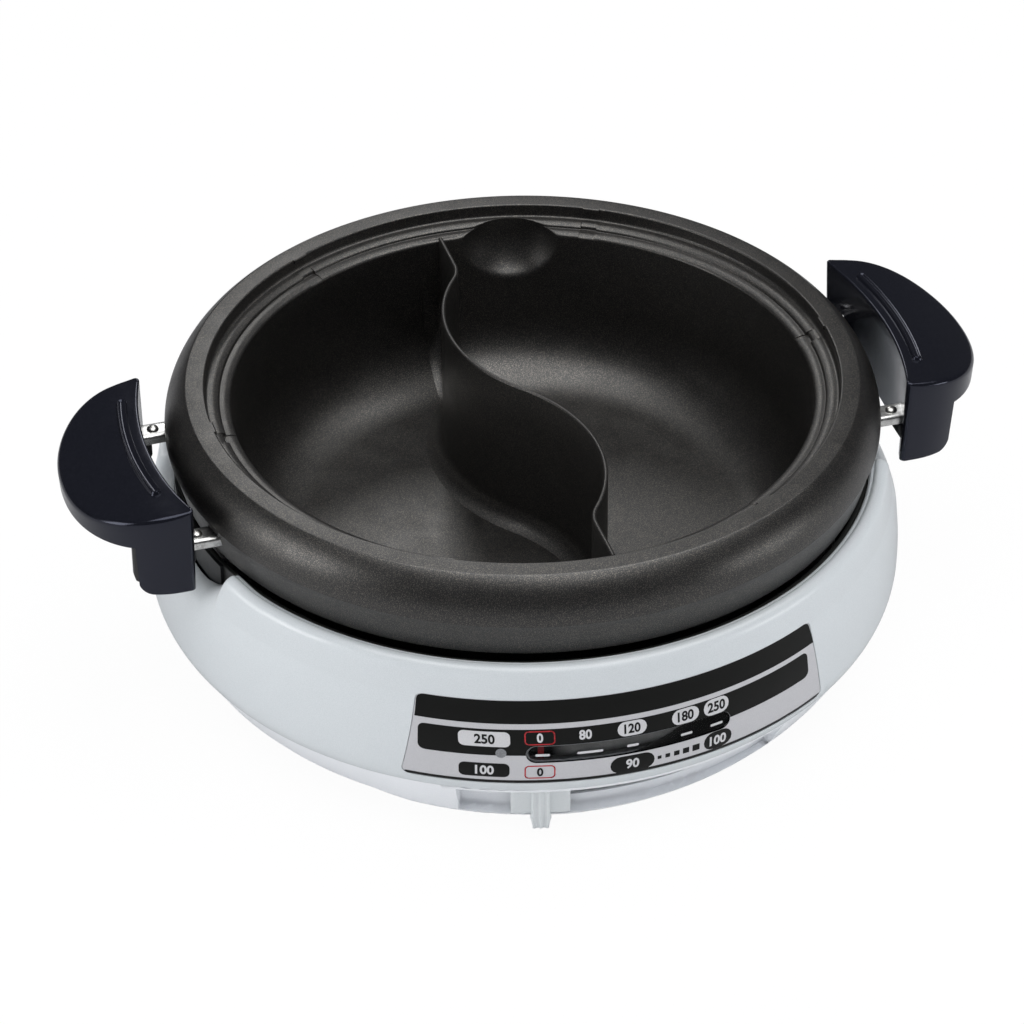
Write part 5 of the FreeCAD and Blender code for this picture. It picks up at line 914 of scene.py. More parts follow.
def draped(sheet, low, high, cell):
    """Curved slab on the casing's skin from a flat sheet, as vertices and faces."""
    xs = [v.co.x for v in sheet.verts]
    zs = [v.co.y for v in sheet.verts]
    for axis, values in ((0, xs), (1, zs)):
        normal = (1, 0, 0) if axis == 0 else (0, 1, 0)
        start = math.ceil(min(values) / cell) * cell
        while start < max(values) - 0.01:
            spot = (start, 0, 0) if axis == 0 else (0, start, 0)
            geometry = sheet.verts[:] + sheet.edges[:] + sheet.faces[:]
            bmesh.ops.bisect_plane(sheet, geom=geometry, plane_co=spot, plane_no=normal,
                                   dist=0.0005)
            start += cell
    sheet.verts.index_update()
    count = len(sheet.verts)
    verts = [on_skin(v.co.x, v.co.y, high) for v in sheet.verts]
    verts += [on_skin(v.co.x, v.co.y, low) for v in sheet.verts]
    faces = []
    for face in sheet.faces:
        ids = [v.index for v in face.verts]
        faces.append(tuple(ids))
        faces.append(tuple(i + count for i in reversed(ids)))
    for edge in sheet.edges:
        if len(edge.link_faces) == 1:
            a, b = (v.index for v in edge.verts)
            faces.append((a, b, b + count, a + count))
    sheet.free()
    return verts, faces


def outline_mesh(name, loop, low, high, cell):
    """Block over an outline, between two depths under the casing's skin."""
    return new_mesh(name, *draped(flat_mesh([loop]), low, high, cell))


def stretch(x0, x1, z0, z1, radius):
    """Rounded rectangle in (x, z)."""
    return rounded_loop([(x0, z0), (x1, z0), (x1, z1), (x0, z1)], radius)


def make_panel():
    """Silver plate of the control panel, with its window cut."""
    plate = new_object("control_panel_plate",
                       outline_mesh("control_panel_plate", panel_outline(0.25),
                                    -PANEL_RECESS + 0.02, -PANEL_SINK, 3.0))
    cut_out(plate, outline_mesh("window_cut", window_outline(0), -4.0, 4.0, 3.0))
    return finish(plate, "base", PANEL, ("control_panel",), 28.0)


def printed(name, loops, ink, lift=0.04):
    """Layer of print on the panel's face."""
    base = -PANEL_SINK
    layer = draped(flat_mesh(loops), base - PRINT_SUNK, base + lift, PRINT_CELL)
    return finish(new_object(name, new_mesh(name, *layer, merge=0.0005)), "base", ink)


def framed(x0, x1, z0, z1, radius, width):
    """Thin rounded frame as a chain of small quads."""
    outer = stretch(x0, x1, z0, z1, radius)
    inner = stretch(x0 + width, x1 - width, z0 + width, z1 - width, radius - width)
    count = len(outer)
    return [[outer[k], outer[(k + 1) % count], inner[(k + 1) % count], inner[k]]
            for k in range(count)]


def label(text, x, z, height):
    """Plain number as a flat sheet, centred on (x, z)."""
    curve = bpy.data.curves.new("number", "FONT")
    curve.body = text
    curve.size = 1.0
    curve.resolution_u = 4
    curve.offset = NUMBER_BOLD
    source = new_object("number", curve)
    graph = bpy.context.evaluated_depsgraph_get()
    mesh = bpy.data.meshes.new_from_object(source.evaluated_get(graph))
    bpy.data.objects.remove(source)
    sheet = bmesh.new()
    sheet.from_mesh(mesh)
    low = [min(v.co[i] for v in sheet.verts) for i in (0, 1)]
    high = [max(v.co[i] for v in sheet.verts) for i in (0, 1)]
    scale = height / (high[1] - low[1])
    for v in sheet.verts:
        v.co = ((v.co.x - (low[0] + high[0]) / 2) * scale * NUMBER_SQUEEZE + x,
                (v.co.y - (low[1] + high[1]) / 2) * scale + z, 0)
    return sheet


def numbers(name, rows, ink, lift):
    """Numbers on the panel, one mesh."""
    parts = [draped(label(text, x, z, height), -PANEL_SINK - 0.02, lift - PANEL_SINK, 6.0)
             for text, x, z, height in rows]
    mesh = new_mesh(name, *joined(parts), merge=0.0005)
    return finish(new_object(name, mesh), "base", ink, sharp_deg=60)


def make_print():
    """Bands, pills, frames and numbers printed on the panel, in millimetres along X and Z."""
    top = [(x, z) for x, z in panel_outline(0.5) if z > 88]
    upper = [(-112.9, 80.9), (109.2, 80.9)] + top
    foot = stretch(-118.6, 115.0, 41.95, 44.1, 0.9)
    middle = rounded_loop([(-112.4, 61.0), (105.6, 62.4), (104.4, 78.2), (-111.6, 77.4)], 3.4)
    darks = [stretch(-93.0, -67.9, 46.5, 55.9, 3.0), stretch(-15.3, 9.2, 43.8, 55.2, 5.6),
             stretch(37.9, 54.7, 44.2, 56.2, 5.9)]
    hole = outline_mesh("window_print_cut", window_outline(-0.05), -4.0, 4.0, 3.0)
    cut_out(printed("panel_black_bands", [upper, middle, foot] + darks, INK_BLACK), hole)
    sizes = [(12.0, 1.1), (16.7, 1.35), (21.9, 1.6), (27.3, 1.85), (33.2, 2.1)]
    squares = [stretch(x - h, x + h, 49.7 - h, 49.7 + h, 0.15) for x, h in sizes]
    printed("panel_growing_squares", squares, INK_BLACK)
    pills = [stretch(-92.8, -67.3, 66.7, 76.0, 2.8), stretch(-11.3, 4.8, 68.2, 77.2, 4.4),
             stretch(19.1, 34.8, 68.0, 77.3, 4.5), stretch(37.7, 52.6, 67.6, 77.5, 4.6)]
    printed("panel_pale_pills", pills, INK_PALE, 0.08)
    frames = framed(-60.1, -44.3, 68.0, 76.7, 2.4, 0.7) + framed(-60.4, -44.5, 45.5, 54.6, 2.4, 0.7)
    printed("panel_red_frames", frames, INK_RED, 0.1)
    numbers("panel_pale_numbers", [("0", -52.2, 72.4, 5.8), ("80", -28.5, 72.8, 6.0),
                                   ("100", -80.4, 51.2, 6.2), ("90", -3.1, 49.5, 6.6),
                                   ("100", 46.3, 50.2, 6.6)], INK_PALE, 0.12)
    numbers("panel_dark_numbers", [("250", -80.0, 71.4, 6.0), ("0", -52.4, 50.1, 5.8),
                                   ("120", -3.2, 72.7, 6.0), ("180", 27.0, 72.7, 6.2),
                                   ("250", 45.2, 72.6, 6.2)], INK_BLACK, 0.14)


def make_window():
    """Clear pane, the pale strip that lies under it and the dashes printed on the pane."""
    pane = new_object("window_pane", outline_mesh("window_pane", window_outline(0.12),
                                                  -PANEL_RECESS + 0.05, -PANEL_SINK - 0.1, 3.0))
    finish(pane, "base", WINDOW_FINISH, ("panel_window",), 28.0)
    dashes = [stretch(x0, x1, z - 0.75, z + 0.75, 0.5)
              for x0, x1, z in ((-54.8, -47.4, 61.3), (-33.0, -19.3, 61.4), (-6.2, 0.2, 61.7),
                                (24.2, 30.8, 60.9), (41.7, 48.9, 61.0))]
    mesh = new_mesh("window_dashes", *draped(flat_mesh(dashes), -0.45, -0.33, 3.0), merge=0.0005)
    finish(new_object("window_dashes", mesh), "base", INK_PALE)
    # The strip behind the pane carries painted shade: black at its ends and darker towards the top.
    strip = outline_mesh("scale_backing", stretch(-58.5, 52.5, 56.6, 69.4, 1.0), -7.0, -6.4, 3.0)
    finish(new_object("scale_backing", strip), "base", SCALE_SHADE_FINISH)


# ================================================================ handles
def handle_top_z(x):
    """Top of a handle: falls outwards and is domed across its middle."""
    away = (x - HANDLE_DOME_X) / HANDLE_DOME_HALF
    dome = HANDLE_DOME * max(1 - away * away, 0.0) ** 2 * (1 + 0.5 * away * away)
    return HANDLE_TOP_Z - HANDLE_FALL * (x - HANDLE_FLAT_X) + dome


def rim_low(x):
    """Lower edge of a handle's rim, slightly higher towards the pan."""
    return HANDLE_RIM_Z + HANDLE_RIM_RISE * (HANDLE_X + HANDLE_LONG - x)


def leg_low(x):
    """Lower edge of the handle's outer wall."""
    start = HANDLE_LEG_X - HANDLE_LEG_CORNER
    if x <= start:
        return HANDLE_LEG_Z
    drop = HANDLE_LEG_CORNER ** 2 - (x - start) ** 2
    return HANDLE_LEG_Z + HANDLE_LEG_CORNER - math.sqrt(max(drop, 0.0))


def plan_point(angle):
    """Point of the handle's outer outline in plan, a slightly squared oval."""
    c, s = math.cos(angle), math.sin(angle)
    power = 2 / HANDLE_SQUARE
    return (HANDLE_X + HANDLE_LONG * math.copysign(abs(c) ** power, c),
            HANDLE_HALF * math.copysign(abs(s) ** power, s))


def handle_outline():
    """(x, y, lower edge, edge radius) from the front horn round the outside and back inside."""
    share = ((HANDLE_LEG_X - HANDLE_X) / HANDLE_LONG) ** (HANDLE_SQUARE / 2)
    leg_deg = math.degrees(math.acos(share))
    tip_deg = math.degrees(math.asin(HANDLE_HALF / HANDLE_PAN_R))
    ends = [(HANDLE_PAN_R * math.cos(math.radians(d)), -HANDLE_PAN_R * math.sin(math.radians(d)))
            for d in (tip_deg - 1.6, tip_deg)]
    outside = [plan_point(math.radians(-90.0 + (90.0 - leg_deg) * i / 52)) for i in range(53)]
    tip = intersect_corner(ends[0], ends[1], (HANDLE_X, -HANDLE_HALF),
                           (HANDLE_X - 9.0, -HANDLE_HALF))
    bend = corner(ends[0], tip, (HANDLE_X, -HANDLE_HALF), HANDLE_TIP_R, 10)
    outside = [p for p in outside if p[0] > bend[-1][0] + 0.8]
    quarter = []
    for i, (x, y) in enumerate(bend + between(bend[-1], outside[0], 3) + outside):
        grown = way_along(x, bend[0][0], bend[0][0] + 14.0)
        radius = HANDLE_INNER_EDGE_R + (HANDLE_EDGE_R - HANDLE_INNER_EDGE_R) * grown
        quarter.append((x, y, leg_low(min(x, HANDLE_LEG_X)), radius))
    quarter[-1] = quarter[-1][:2] + (rim_low(HANDLE_LEG_X) - 6.0, HANDLE_EDGE_R)
    rim = []
    for i in range(61):
        x, y = plan_point(math.radians((leg_deg - 0.15) * (i / 30 - 1)))
        rim.append((x, y, rim_low(x), HANDLE_EDGE_R))
    back = [(x, -y, low, radius) for x, y, low, radius in reversed(quarter)]
    outer = quarter + rim + back
    count = len(outer)
    top = math.degrees(math.asin(-bend[0][1] / HANDLE_PAN_R)) - 0.25
    inner = []
    for i in range(count):
        a = math.radians(top * (1 - 2 * i / (count - 1)))
        x, y = HANDLE_PAN_R * math.cos(a), HANDLE_PAN_R * math.sin(a)
        low = HANDLE_LEG_Z if abs(y) > LEG_RETURN_Y else HANDLE_BACK_Z
        if 38.0 < abs(y) < LEG_RETURN_Y:
            low = HANDLE_BOSS_Z
        inner.append((x, y, low, HANDLE_INNER_EDGE_R))
    return outer, inner


def intersect_corner(a, b, c, d):
    """Where the line through a and b meets the line through c and d."""
    u = Vector(b) - Vector(a)
    v = Vector(d) - Vector(c)
    w = Vector(c) - Vector(a)
    along = (w.x * v.y - w.y * v.x) / (u.x * v.y - u.y * v.x)
    return tuple(Vector(a) + u * along)


def make_handle(side, name):
    """Shell of one handle: outer skin with a domed top, thickened inwards."""
    outer, inner = handle_outline()
    outline = outer + inner
    count = len(outline)
    columns = []
    for i, (x, y, low, radius) in enumerate(outline):
        before, after = outline[i - 1], outline[(i + 1) % count]
        run_x, run_y = after[0] - before[0], after[1] - before[1]
        length = math.hypot(run_x, run_y)
        inward = (-run_y / length, run_x / length)
        foot = handle_top_z(x) - radius
        middle = max(low + 1.0, HANDLE_RIM_Z + 4.0)
        rows = [(x, y, low)]
        rows += [(x, y, middle + (foot - middle) * share + 0.01) for share in (0.0, 0.33, 0.66)]
        for step in range(8):
            bend = math.radians(90 * step / 7)
            inset = radius * (1 - math.cos(bend))
            px, py = x + inward[0] * inset, y + inward[1] * inset
            rows.append((px, py, handle_top_z(px) - radius + radius * math.sin(bend)))
        columns.append([narrowed(point) for point in rows])
    rows = len(columns[0])
    verts = [(side * x, y, z) for column in columns for x, y, z in column]
    faces = []
    for i in range(count):
        j = (i + 1) % count
        for k in range(rows - 1):
            faces.append((i * rows + k, j * rows + k, j * rows + k + 1, i * rows + k + 1))
    half = count // 2
    steps = 14
    grid = []
    for i in range(half):
        a = i * rows + rows - 1
        b = (count - 1 - i) * rows + rows - 1
        line = [a]
        for step in range(1, steps):
            share = step / steps
            p = [verts[a][axis] + (verts[b][axis] - verts[a][axis]) * share for axis in (0, 1)]
            line.append(len(verts))
            verts.append((p[0], p[1], handle_top_z(abs(p[0]))))
        grid.append(line + [b])
    for i in range(half - 1):
        for k in range(steps):
            faces.append((grid[i][k], grid[i + 1][k], grid[i + 1][k + 1], grid[i][k + 1]))
    shell = new_object(name, new_mesh(name, verts, faces))
    full = shell.vertex_groups.new(name="full_wall")
    tips = [Vector((outer[i][0] * side, outer[i][1])) for i in (5, -6)]
    for vertex in shell.data.vertices:
        away = min((vertex.co.xy / MM - tip).length for tip in tips)
        full.add([vertex.index], way_along(away, 2.0, 11.0), "REPLACE")
    wall = shell.modifiers.new("wall", "SOLIDIFY")
    wall.thickness = HANDLE_WALL * MM
    wall.offset = -1.0
    wall.vertex_group = "full_wall"
    wall.thickness_vertex_group = 0.12
    bake(shell)
    word = "right" if side > 0 else "left"
    return finish(shell, "pan", PHENOLIC, ("handle_shell_" + word,), 40.0)


def narrowed(point):
    """Draft of the handle's walls: lower parts draw in towards its middle."""
    x, y, z = point
    share = 1 - HANDLE_TAPER * max(HANDLE_TOP_Z - 4.0 - z, 0.0)
    if x > HANDLE_X:
        x = HANDLE_X + (x - HANDLE_X) * share
    return (x, y * share, z)


def make_thumb_rib(side, name):
    """Raised curved bar with two crests, rounded at both ends."""
    half = THUMB_WIDTH / 2
    section = [(half + 0.5, -0.3), (half + 0.1, 0.15), (half - 0.15, 0.9), (half - 0.45, 1.6),
               (half - 0.9, THUMB_RISE), (half - 1.4, THUMB_RISE - 0.15),
               (half - 1.9, THUMB_RISE - 0.6), (0.5, THUMB_RISE - 0.75), (0.0, THUMB_RISE - 0.75)]
    wings = section + [(-a, h) for a, h in reversed(section[:-1])]
    verts = []

    def place(at, high):
        verts.append((side * at.x, at.y, handle_top_z(at.x) + high))

    rows = 49
    for i in range(rows):
        angle = math.radians(THUMB_MIDDLE_DEG + THUMB_HALF_DEG * (i / 24 - 1))
        out = Vector((math.cos(angle), math.sin(angle)))
        for across, high in wings:
            place((THUMB_R + across) * out, high)
    faces = grid_faces(rows, len(wings))
    for end in (-1, 1):
        angle = math.radians(THUMB_MIDDLE_DEG + THUMB_HALF_DEG * end)
        out = Vector((math.cos(angle), math.sin(angle)))
        along = Vector((-out.y, out.x)) * end
        start = len(verts)
        for step in range(13):
            a = math.pi * step / 12
            for across, high in section:
                place(THUMB_R * out + (out * math.cos(a) + along * math.sin(a)) * across, high)
        faces += grid_faces(13, len(section), start)
    rib = new_object(name, new_mesh(name, verts, faces, merge=0.01))
    return finish(rib, "pan", PHENOLIC, sharp_deg=50)


def make_brackets():
    """Four sheet channels, open downwards, with rounded bends."""
    half = BRACKET_WIDTH / 2
    low = BRACKET_TOP_Z - BRACKET_FLANGE
    outer = run([((-half, low), None, 2), ((-half, BRACKET_TOP_Z), 2.2, 3),
                 ((half, BRACKET_TOP_Z), 2.2, 2), ((half, low), None, 0)])
    t = BRACKET_SHEET
    inner = run([((-half + t, low), None, 2), ((-half + t, BRACKET_TOP_Z - t), 0.8, 3),
                 ((half - t, BRACKET_TOP_Z - t), 0.8, 2), ((half - t, low), None, 0)])
    loop = outer + list(reversed(inner))
    stations = [BRACKET_IN_X, BRACKET_IN_X + 0.4]
    stations += [BRACKET_IN_X + (BRACKET_OUT_X - BRACKET_IN_X) * i / 12 for i in range(1, 12)]
    stations += [BRACKET_OUT_X - 0.4, BRACKET_OUT_X]
    parts = [loft([[(sx * x, sy * BRACKET_Y + y, z) for y, z in loop] for x in stations], True)
             for sx in (-1, 1) for sy in (-1, 1)]
    mesh = new_mesh("handle_brackets", *joined(parts))
    nodes = ["bracket_%s_%s" % (a, b) for a in ("right", "left") for b in ("rear", "front")]
    return finish(new_object("handle_brackets", mesh), "pan", STEEL, nodes, 35.0)


def make_bracket_blocks():
    """Four rounded plastic blocks of the handles, each under the end of a bracket."""
    loop = rounded_loop([(-6.9, 0.0), (6.9, 0.0), (6.9, 11.0), (-6.9, 11.0)], 1.2, 3)
    top = BRACKET_TOP_Z - BRACKET_FLANGE - 0.1
    depths = [(200.9, 0.62), (201.2, 0.7), (202.6, 0.92), (204.2, 1.0), (211.0, 1.0)]
    parts = [loft([[(sx * x, sy * BRACKET_Y + y, top - z * share) for y, z in loop]
                   for x, share in depths]) for sx in (-1, 1) for sy in (-1, 1)]
    blocks = new_object("bracket_blocks", new_mesh("bracket_blocks", *joined(parts)))
    return finish(blocks, "pan", LINER, sharp_deg=35)


# ================================================================ repeated small parts
def corner_rule():
    """Node tree that sets a small piece at the four corners of a rectangle."""
    tree = bpy.data.node_groups.new("four_corners", "GeometryNodeTree")
    face = tree.interface
    face.new_socket("Geometry", in_out="INPUT", socket_type="NodeSocketGeometry")
    face.new_socket("Piece", in_out="INPUT", socket_type="NodeSocketObject")
    face.new_socket("Width", in_out="INPUT", socket_type="NodeSocketFloat")
    face.new_socket("Depth", in_out="INPUT", socket_type="NodeSocketFloat")
    face.new_socket("Finish", in_out="INPUT", socket_type="NodeSocketMaterial")
    face.new_socket("Geometry", in_out="OUTPUT", socket_type="NodeSocketGeometry")
    given = add(tree, "NodeGroupInput").outputs
    grid = add(tree, "GeometryNodeMeshGrid", {"Vertices X": 2, "Vertices Y": 2},
               {"Size X": given["Width"], "Size Y": given["Depth"]})
    part = add(tree, "GeometryNodeObjectInfo", links={"Object": given["Piece"]})
    placed = add(tree, "GeometryNodeInstanceOnPoints", links={"Points": grid.outputs["Mesh"],
                                                              "Instance": part.outputs["Geometry"]})
    real = add(tree, "GeometryNodeRealizeInstances", links={"Geometry": placed.outputs[0]})
    painted = add(tree, "GeometryNodeSetMaterial", links={"Geometry": real.outputs[0],
                                                          "Material": given["Finish"]})
    out = add(tree, "NodeGroupOutput")
    tree.links.new(painted.outputs[0], out.inputs[0])
    return tree


FOUR_CORNERS = corner_rule()


def at_corners(name, profile, x, y, finish_of, body, nodes):
    """Turned piece at (x, y) and its three mirror places."""
    small = new_object(name + "_pattern",
                       new_mesh(name + "_pattern", *plain_lathe(profile, 40, False)))
    host = new_object(name, bpy.data.meshes.new(name))
    rule = host.modifiers.new("corners", "NODES")
    rule.node_group = FOUR_CORNERS
    names = {item.name: item.identifier for item in FOUR_CORNERS.interface.items_tree
             if item.in_out == "INPUT"}
    rule[names["Piece"]] = small
    rule[names["Width"]] = 2 * x * MM
    rule[names["Depth"]] = 2 * y * MM
    rule[names["Finish"]] = finish_of
    bake(host)
    bpy.data.objects.remove(small)
    return finish(host, body, finish_of, nodes, 40.0)


def head_profile(radius, low, high, dome):
    """Round head between two heights, domed towards high."""
    way = 1 if high > low else -1
    rim = high - way * dome
    line = [(0, low), (radius, low), (radius, rim)]
    line += [(radius * math.cos(math.radians(a)), rim + way * dome * math.sin(math.radians(a)))
             for a in (20, 40, 60, 75)]
    return line + [(0, high)]


# ================================================================ build everything
make_pan()
make_divider()
make_upper_casing()
make_panel()
make_print()
make_window()
for side, word in ((1, "right"), (-1, "left")):
    make_handle(side, "handle_%s_shell" % word)
    make_thumb_rib(side, "handle_%s_thumb_rib" % word)
make_brackets()
make_bracket_blocks()
at_corners("bracket_rivet_heads", head_profile(3.4, BRACKET_TOP_Z - 0.2, BRACKET_TOP_Z + 2.0, 1.9),
           RIVET_X, BRACKET_Y, FASTENER, "pan", ("bracket_rivets",))

def draw_in(made):
    """Draw the lower casing's flank in towards its foot, less so round the lever."""
    reach = [(-180, 0.0), (-60, 0.0), (-42, 1.8), (-35, 4.8), (-28, 6.0), (-20, 7.2), (-9, 8.0),
             (0, 6.6), (8, 5.2), (16, 3.4), (24, 1.6), (34, 0.4), (60, 0.0), (180, 0.0)]
    fine = bmesh.new()
    fine.from_mesh(made.data)
    cuts = [((0, 0, z * MM), (0, 0, 1)) for z in (12.0, 15.5, 19.0, 22.5, 26.0, 29.5)]
    cuts += [((0, 0, 0), at_angle(1.0, 2.5 * i + 0.4, 0.0)) for i in range(72)]
    for spot, normal in cuts:
        bmesh.ops.bisect_plane(fine, geom=fine.verts[:] + fine.edges[:] + fine.faces[:],
                               plane_co=spot, plane_no=normal, dist=0.002 * MM)
    fine.to_mesh(made.data)
    fine.free()
    for vertex in made.data.vertices:
        x, y, z = (c / MM for c in vertex.co)
        r = math.hypot(x, y)
        azimuth = math.degrees(math.atan2(x, -y))
        start = 189.5 if abs(azimuth) < 32 else 187.0
        share = way_along(r, start, start + 5.0)
        if share == 0.0 or z > PARTING_Z + 0.01:
            continue
        fall = min(max((PARTING_Z - z) / (PARTING_Z - FOOT_DROP_Z), 0.0), 1.1)
        inward = 0.8 + (FOOT_DRAW - 0.8) * fall - look_up(reach, azimuth) * fall
        scale = 1 - inward * share / r
        vertex.co.x *= scale
        vertex.co.y *= scale


def trim_liner(made):
    """Bring the liner's outer end closer to the leg of the handle."""
    for vertex in made.data.vertices:
        over = abs(vertex.co.x) / MM - (HANDLE_LEG_X - 6.0)
        if over > 0:
            vertex.co.x -= math.copysign(0.46 * over * MM, vertex.co.x)


def slab(azimuths, heights, front_at, back_at):
    """Curved slab of the lever between a front and a back surface."""
    rings = []
    for azimuth in azimuths:
        turn = azimuth + LEVER_OFF_DEG - 90
        ring = [at_angle(front_at(azimuth, z), turn, z) for z in heights]
        rings.append(ring + [at_angle(back_at(z), turn, z) for z in reversed(heights)])
    return loft(rings, strips=True)


def plate_r(azimuth, z):
    """Radius of the plate's front, rounded off at its edges."""
    edge = min((PLATE_HALF_DEG - abs(azimuth)) * PLATE_DEG, z - PLATE_LOW_Z, PLATE_TOP_Z - z)
    return PLATE_R - 0.5 * math.exp(-max(edge, 0.0) / 0.4)


def tab_r(azimuth, z):
    """Radius of the tab's front with its three upright ridges."""
    u = azimuth / TAB_HALF_DEG
    ridge = sum(math.exp(-((u - c) / TAB_RIDGE_WIDE) ** 2) for c in TAB_RIDGES)
    ends = min(z - TAB_LOW_Z, TAB_TOP_Z - z)
    return TAB_R + TAB_RIDGE * ridge - 0.6 * math.exp(-max(ends, 0.0) / 0.5)


def make_knob():
    """Curved slider with a ridged tab that hangs below the casing and tapers to its foot."""
    plate_z = [12.6, 12.9, 13.6] + [14.5 + 14.0 * i / 10 for i in range(11)] + [29.4, 30.0, 30.2]
    plate = slab([PLATE_HALF_DEG * (i / 12 - 1) for i in range(25)], plate_z, plate_r,
                 lambda z: PLATE_BACK_R)
    tab_z = [4.4, 4.7, 5.4] + [6.2 + 23.0 * i / 20 for i in range(21)] + [29.8, 30.1]
    tab, tab_faces = slab([TAB_HALF_DEG * (i / 20 - 1) for i in range(41)], tab_z, tab_r,
                          lambda z: TAB_BACK_R if z > 12 else TAB_HANG_R)
    middle = math.radians(LEVER_OFF_DEG)
    for i, (x, y, z) in enumerate(tab):
        along = x * math.cos(middle) + y * math.sin(middle)
        narrow = (1 - TAB_FOOT_SHARE) * (way_along(z, TAB_LOW_Z, TAB_TAPER_Z) - 1)
        flare = TAB_FLARE * math.exp(-max(z - PLATE_LOW_Z, 0.0) / 0.25)
        flare *= math.exp(-max(PLATE_LOW_Z - z, 0.0) / 2.6)
        shift = along * narrow + math.copysign(flare, along) * min(abs(along) / 4.0, 1.0) ** 4
        tab[i] = (x + shift * math.cos(middle), y + shift * math.sin(middle), z)
    loop = rounded_loop([(-8.0, 15.7), (8.0, 15.7), (8.0, 24.3), (-8.0, 24.3)], 1.2, 3)
    boss = loft([[at_angle(depth, LEVER_OFF_DEG - 90 + math.degrees(along / depth), z)
                  for along, z in loop] for depth in (192.5, 198.0)])
    mesh = new_mesh("lever_slider", *joined([plate, (tab, tab_faces), boss]), merge=0.0005)
    return finish(new_object("lever_slider", mesh), "lever", KNOB_PEARL, ("lever_knob",),
                  45.0)


make_knob()

GUARD_LINE = run([((GUARD_FOOT_R, GUARD_FOOT_Z), None, 0), ((GUARD_OUT_R, GUARD_FOOT_Z), 0.5, 6),
                  ((GUARD_OUT_R, GUARD_TOP_Z), 0.7, 0), ((GUARD_IN_R, GUARD_TOP_Z), 0.7, 6),
                  ((GUARD_IN_R, GUARD_FOOT_Z + GUARD_WALL), 1.5, 2),
                  ((GUARD_FOOT_R, GUARD_FOOT_Z + GUARD_WALL), None, 0)])
finish(new_object("guard_ring_band", new_mesh("guard_ring_band", *plain_lathe(GUARD_LINE, 360))),
       "base", GUARD, ("guard_ring",))

WELDED = {
    "bottom_cover": ("base", PEARL_BASE, "base_pearl"),
    "rubber_feet": ("base", RUBBER, "foot_rubber"),
    "reflector_dish": ("base", ALUMINIUM, "reflector_sheet"),
    "heater_element": ("base", SHEATH, "element_steel"),
    "saddle_shield_right": ("base", SHIELD_GREY, "shield_grey"),
    "saddle_shield_left": ("base", SHIELD_GREY, "shield_grey"),
    "handle_cover_right": ("pan", LINER, "cover_black"),
    "handle_cover_left": ("pan", LINER, "cover_black"),
    "lamp_lens": ("base", LENS, "lens_smoke"),
    "inlet_housing": ("base", LINER, "inlet_black"),
    "sensor_cap": ("sensor", ALUMINIUM, "sensor_aluminium"),
    "bracket_bolts": ("pan", FASTENER, "fastener_steel"),
    "handle_screws": ("pan", FASTENER, "fastener_steel"),
    "casing_screws": ("base", FASTENER, "fastener_steel"),
}
for node, (body, finish_of, slot) in WELDED.items():
    made = node_copy(node)
    if node == "bottom_cover":
        draw_in(made)
    if node.startswith("handle_cover"):
        trim_liner(made)
    finish(made, body, finish_of, (node,))

KEPT = {
    "shield_screws": FASTENER, "heat_shield": ALUMINIUM, "shield_spacers": CERAMIC,
    "element_clips": STEEL, "terminal_ceramics": CERAMIC, "pan_rests": STEEL,
    "thermostat_body": BROWN, "sensor_spring": STEEL, "lever_spindle": STEEL, "lever_arm": STEEL,
    "lever_pointer": RED, "scale_strip": SCALE_GREY, "pilot_lamp": LENS, "inlet_pins": BRASS,
    "inlet_pole_plates": STEEL, "terminal_block": CREAM, "thermal_fuse": CERAMIC,
    "lead_live": LEAD_FINISH["lead_brown"], "lead_neutral": LEAD_FINISH["lead_blue"],
    "lead_fuse": LEAD_FINISH["lead_white"], "lead_element": LEAD_FINISH["lead_white"],
    "lead_lamp": LEAD_FINISH["lead_white"], "lead_earth": LEAD_FINISH["lead_green"],
}
for node, finish_of in KEPT.items():
    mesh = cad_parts[node].data
    mesh.materials.clear()
    mesh.materials.append(finish_of)


# ================================================================ studio
def make_camera():
    """Long lens from the front left, looking down at the pan."""
    azimuth, elevation = math.radians(CAMERA_AZIMUTH), math.radians(CAMERA_ELEVATION)
    roll = math.radians(CAMERA_ROLL)
    back = Vector((math.sin(azimuth) * math.cos(elevation),
                   -math.cos(azimuth) * math.cos(elevation), math.sin(elevation)))
    right = Vector((math.cos(azimuth), math.sin(azimuth), 0))
    up = back.cross(right)
    level_right = right * math.cos(roll) + up * math.sin(roll)
    level_up = up * math.cos(roll) - right * math.sin(roll)
    data = bpy.data.cameras.new("camera")
    data.lens = CAMERA_LENS
    data.sensor_width = 36.0
    data.clip_end = 50.0
    camera = bpy.data.objects.new("camera", data)
    bpy.context.scene.collection.objects.link(camera)
    turn = Matrix((level_right, level_up, back)).transposed().to_4x4()
    camera.matrix_world = Matrix.Translation(CAMERA_PLACE) @ turn
    bpy.context.scene.camera = camera


def softbox(name, place, aim, width, height, watts):
    """White area lamp; its place and size are in metres."""
    data = bpy.data.lights.new(name, "AREA")
    data.shape = "RECTANGLE"
    data.size = width
    data.size_y = height
    data.energy = watts
    lamp = bpy.data.objects.new(name, data)
    bpy.context.scene.collection.objects.link(lamp)
    lamp.location = place
    lamp.rotation_mode = "QUATERNION"
    lamp.rotation_quaternion = (Vector(aim) - Vector(place)).to_track_quat("-Z", "Y")


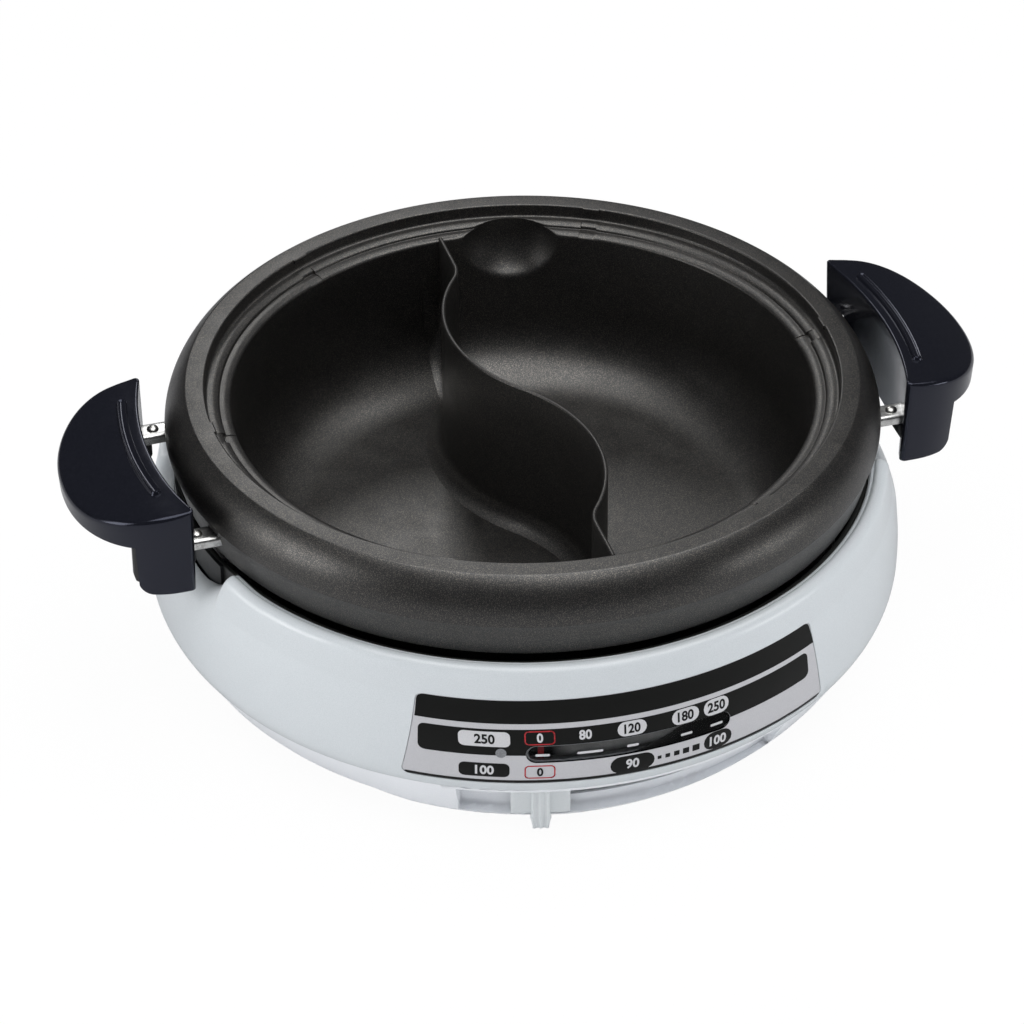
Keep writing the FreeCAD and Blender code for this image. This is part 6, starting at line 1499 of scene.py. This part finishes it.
def make_world():
    """White where the camera looks past everything, soft grey for the light on the object."""
    world = bpy.data.worlds.new("studio")
    bpy.context.scene.world = world
    world.use_nodes = True
    tree = world.node_tree
    tree.nodes.clear()
    out = add(tree, "ShaderNodeOutputWorld")
    seen = add(tree, "ShaderNodeBackground", {"Color": grey(1.0), "Strength": 1.0})
    fill = add(tree, "ShaderNodeBackground", {"Color": linear("#f4f6ff"), "Strength": 0.34})
    dark = add(tree, "ShaderNodeBackground", {"Color": linear("#f4f6ff"), "Strength": 0.06})
    rays = add(tree, "ShaderNodeLightPath").outputs
    soft = add(tree, "ShaderNodeMixShader", links={0: rays["Is Glossy Ray"], 1: fill.outputs[0],
                                                   2: dark.outputs[0]})
    mix = add(tree, "ShaderNodeMixShader", links={0: rays["Is Camera Ray"], 1: soft.outputs[0],
                                                  2: seen.outputs[0]})
    tree.links.new(mix.outputs[0], out.inputs["Surface"])


def make_floor():
    """White floor, nearly even to the camera and darker where the object mirrors it."""
    sheet = bpy.data.meshes.new("floor")
    half = 3.0
    sheet.from_pydata([(-half, -half, 0), (half, -half, 0), (half, half, 0), (-half, half, 0)],
                      [], [(0, 1, 2, 3)])
    floor = new_object("floor", sheet)
    finish_of = bpy.data.materials.new("white_studio_floor")
    finish_of.use_nodes = True
    tree = finish_of.node_tree
    tree.nodes.clear()
    out = add(tree, "ShaderNodeOutputMaterial")
    matt = add(tree, "ShaderNodeBsdfDiffuse", {"Color": grey(0.93)})
    dark = add(tree, "ShaderNodeBsdfDiffuse", {"Color": grey(0.5)})
    glow = add(tree, "ShaderNodeEmission", {"Color": grey(1.0), "Strength": 1.0})
    rays = add(tree, "ShaderNodeLightPath").outputs
    part = add(tree, "ShaderNodeMath", {1: 0.96}, {0: rays["Is Camera Ray"]}, operation="MULTIPLY")
    bounce = add(tree, "ShaderNodeMixShader", links={0: rays["Is Glossy Ray"], 1: matt.outputs[0],
                                                     2: dark.outputs[0]})
    mix = add(tree, "ShaderNodeMixShader", links={0: part.outputs[0], 1: bounce.outputs[0],
                                                  2: glow.outputs[0]})
    tree.links.new(mix.outputs[0], out.inputs["Surface"])
    sheet.materials.append(finish_of)


make_camera()
make_world()
make_floor()
softbox("overhead", (0.15, -0.14, 2.0), (0, 0, 0.1), 2.3, 2.1, 43)
softbox("low_back", (0.3, 2.0, 1.6), (0, 0, 0.1), 0.6, 0.6, 5.3)
softbox("side_left", (-2.0, -0.15, 0.62), (0, 0, 0.1), 0.9, 1.0, 11)
softbox("side_right", (1.8, -1.2, 0.28), (0, 0, 0.1), 0.8, 0.5, 5)

view = bpy.context.scene.view_settings
view.view_transform = "Standard"
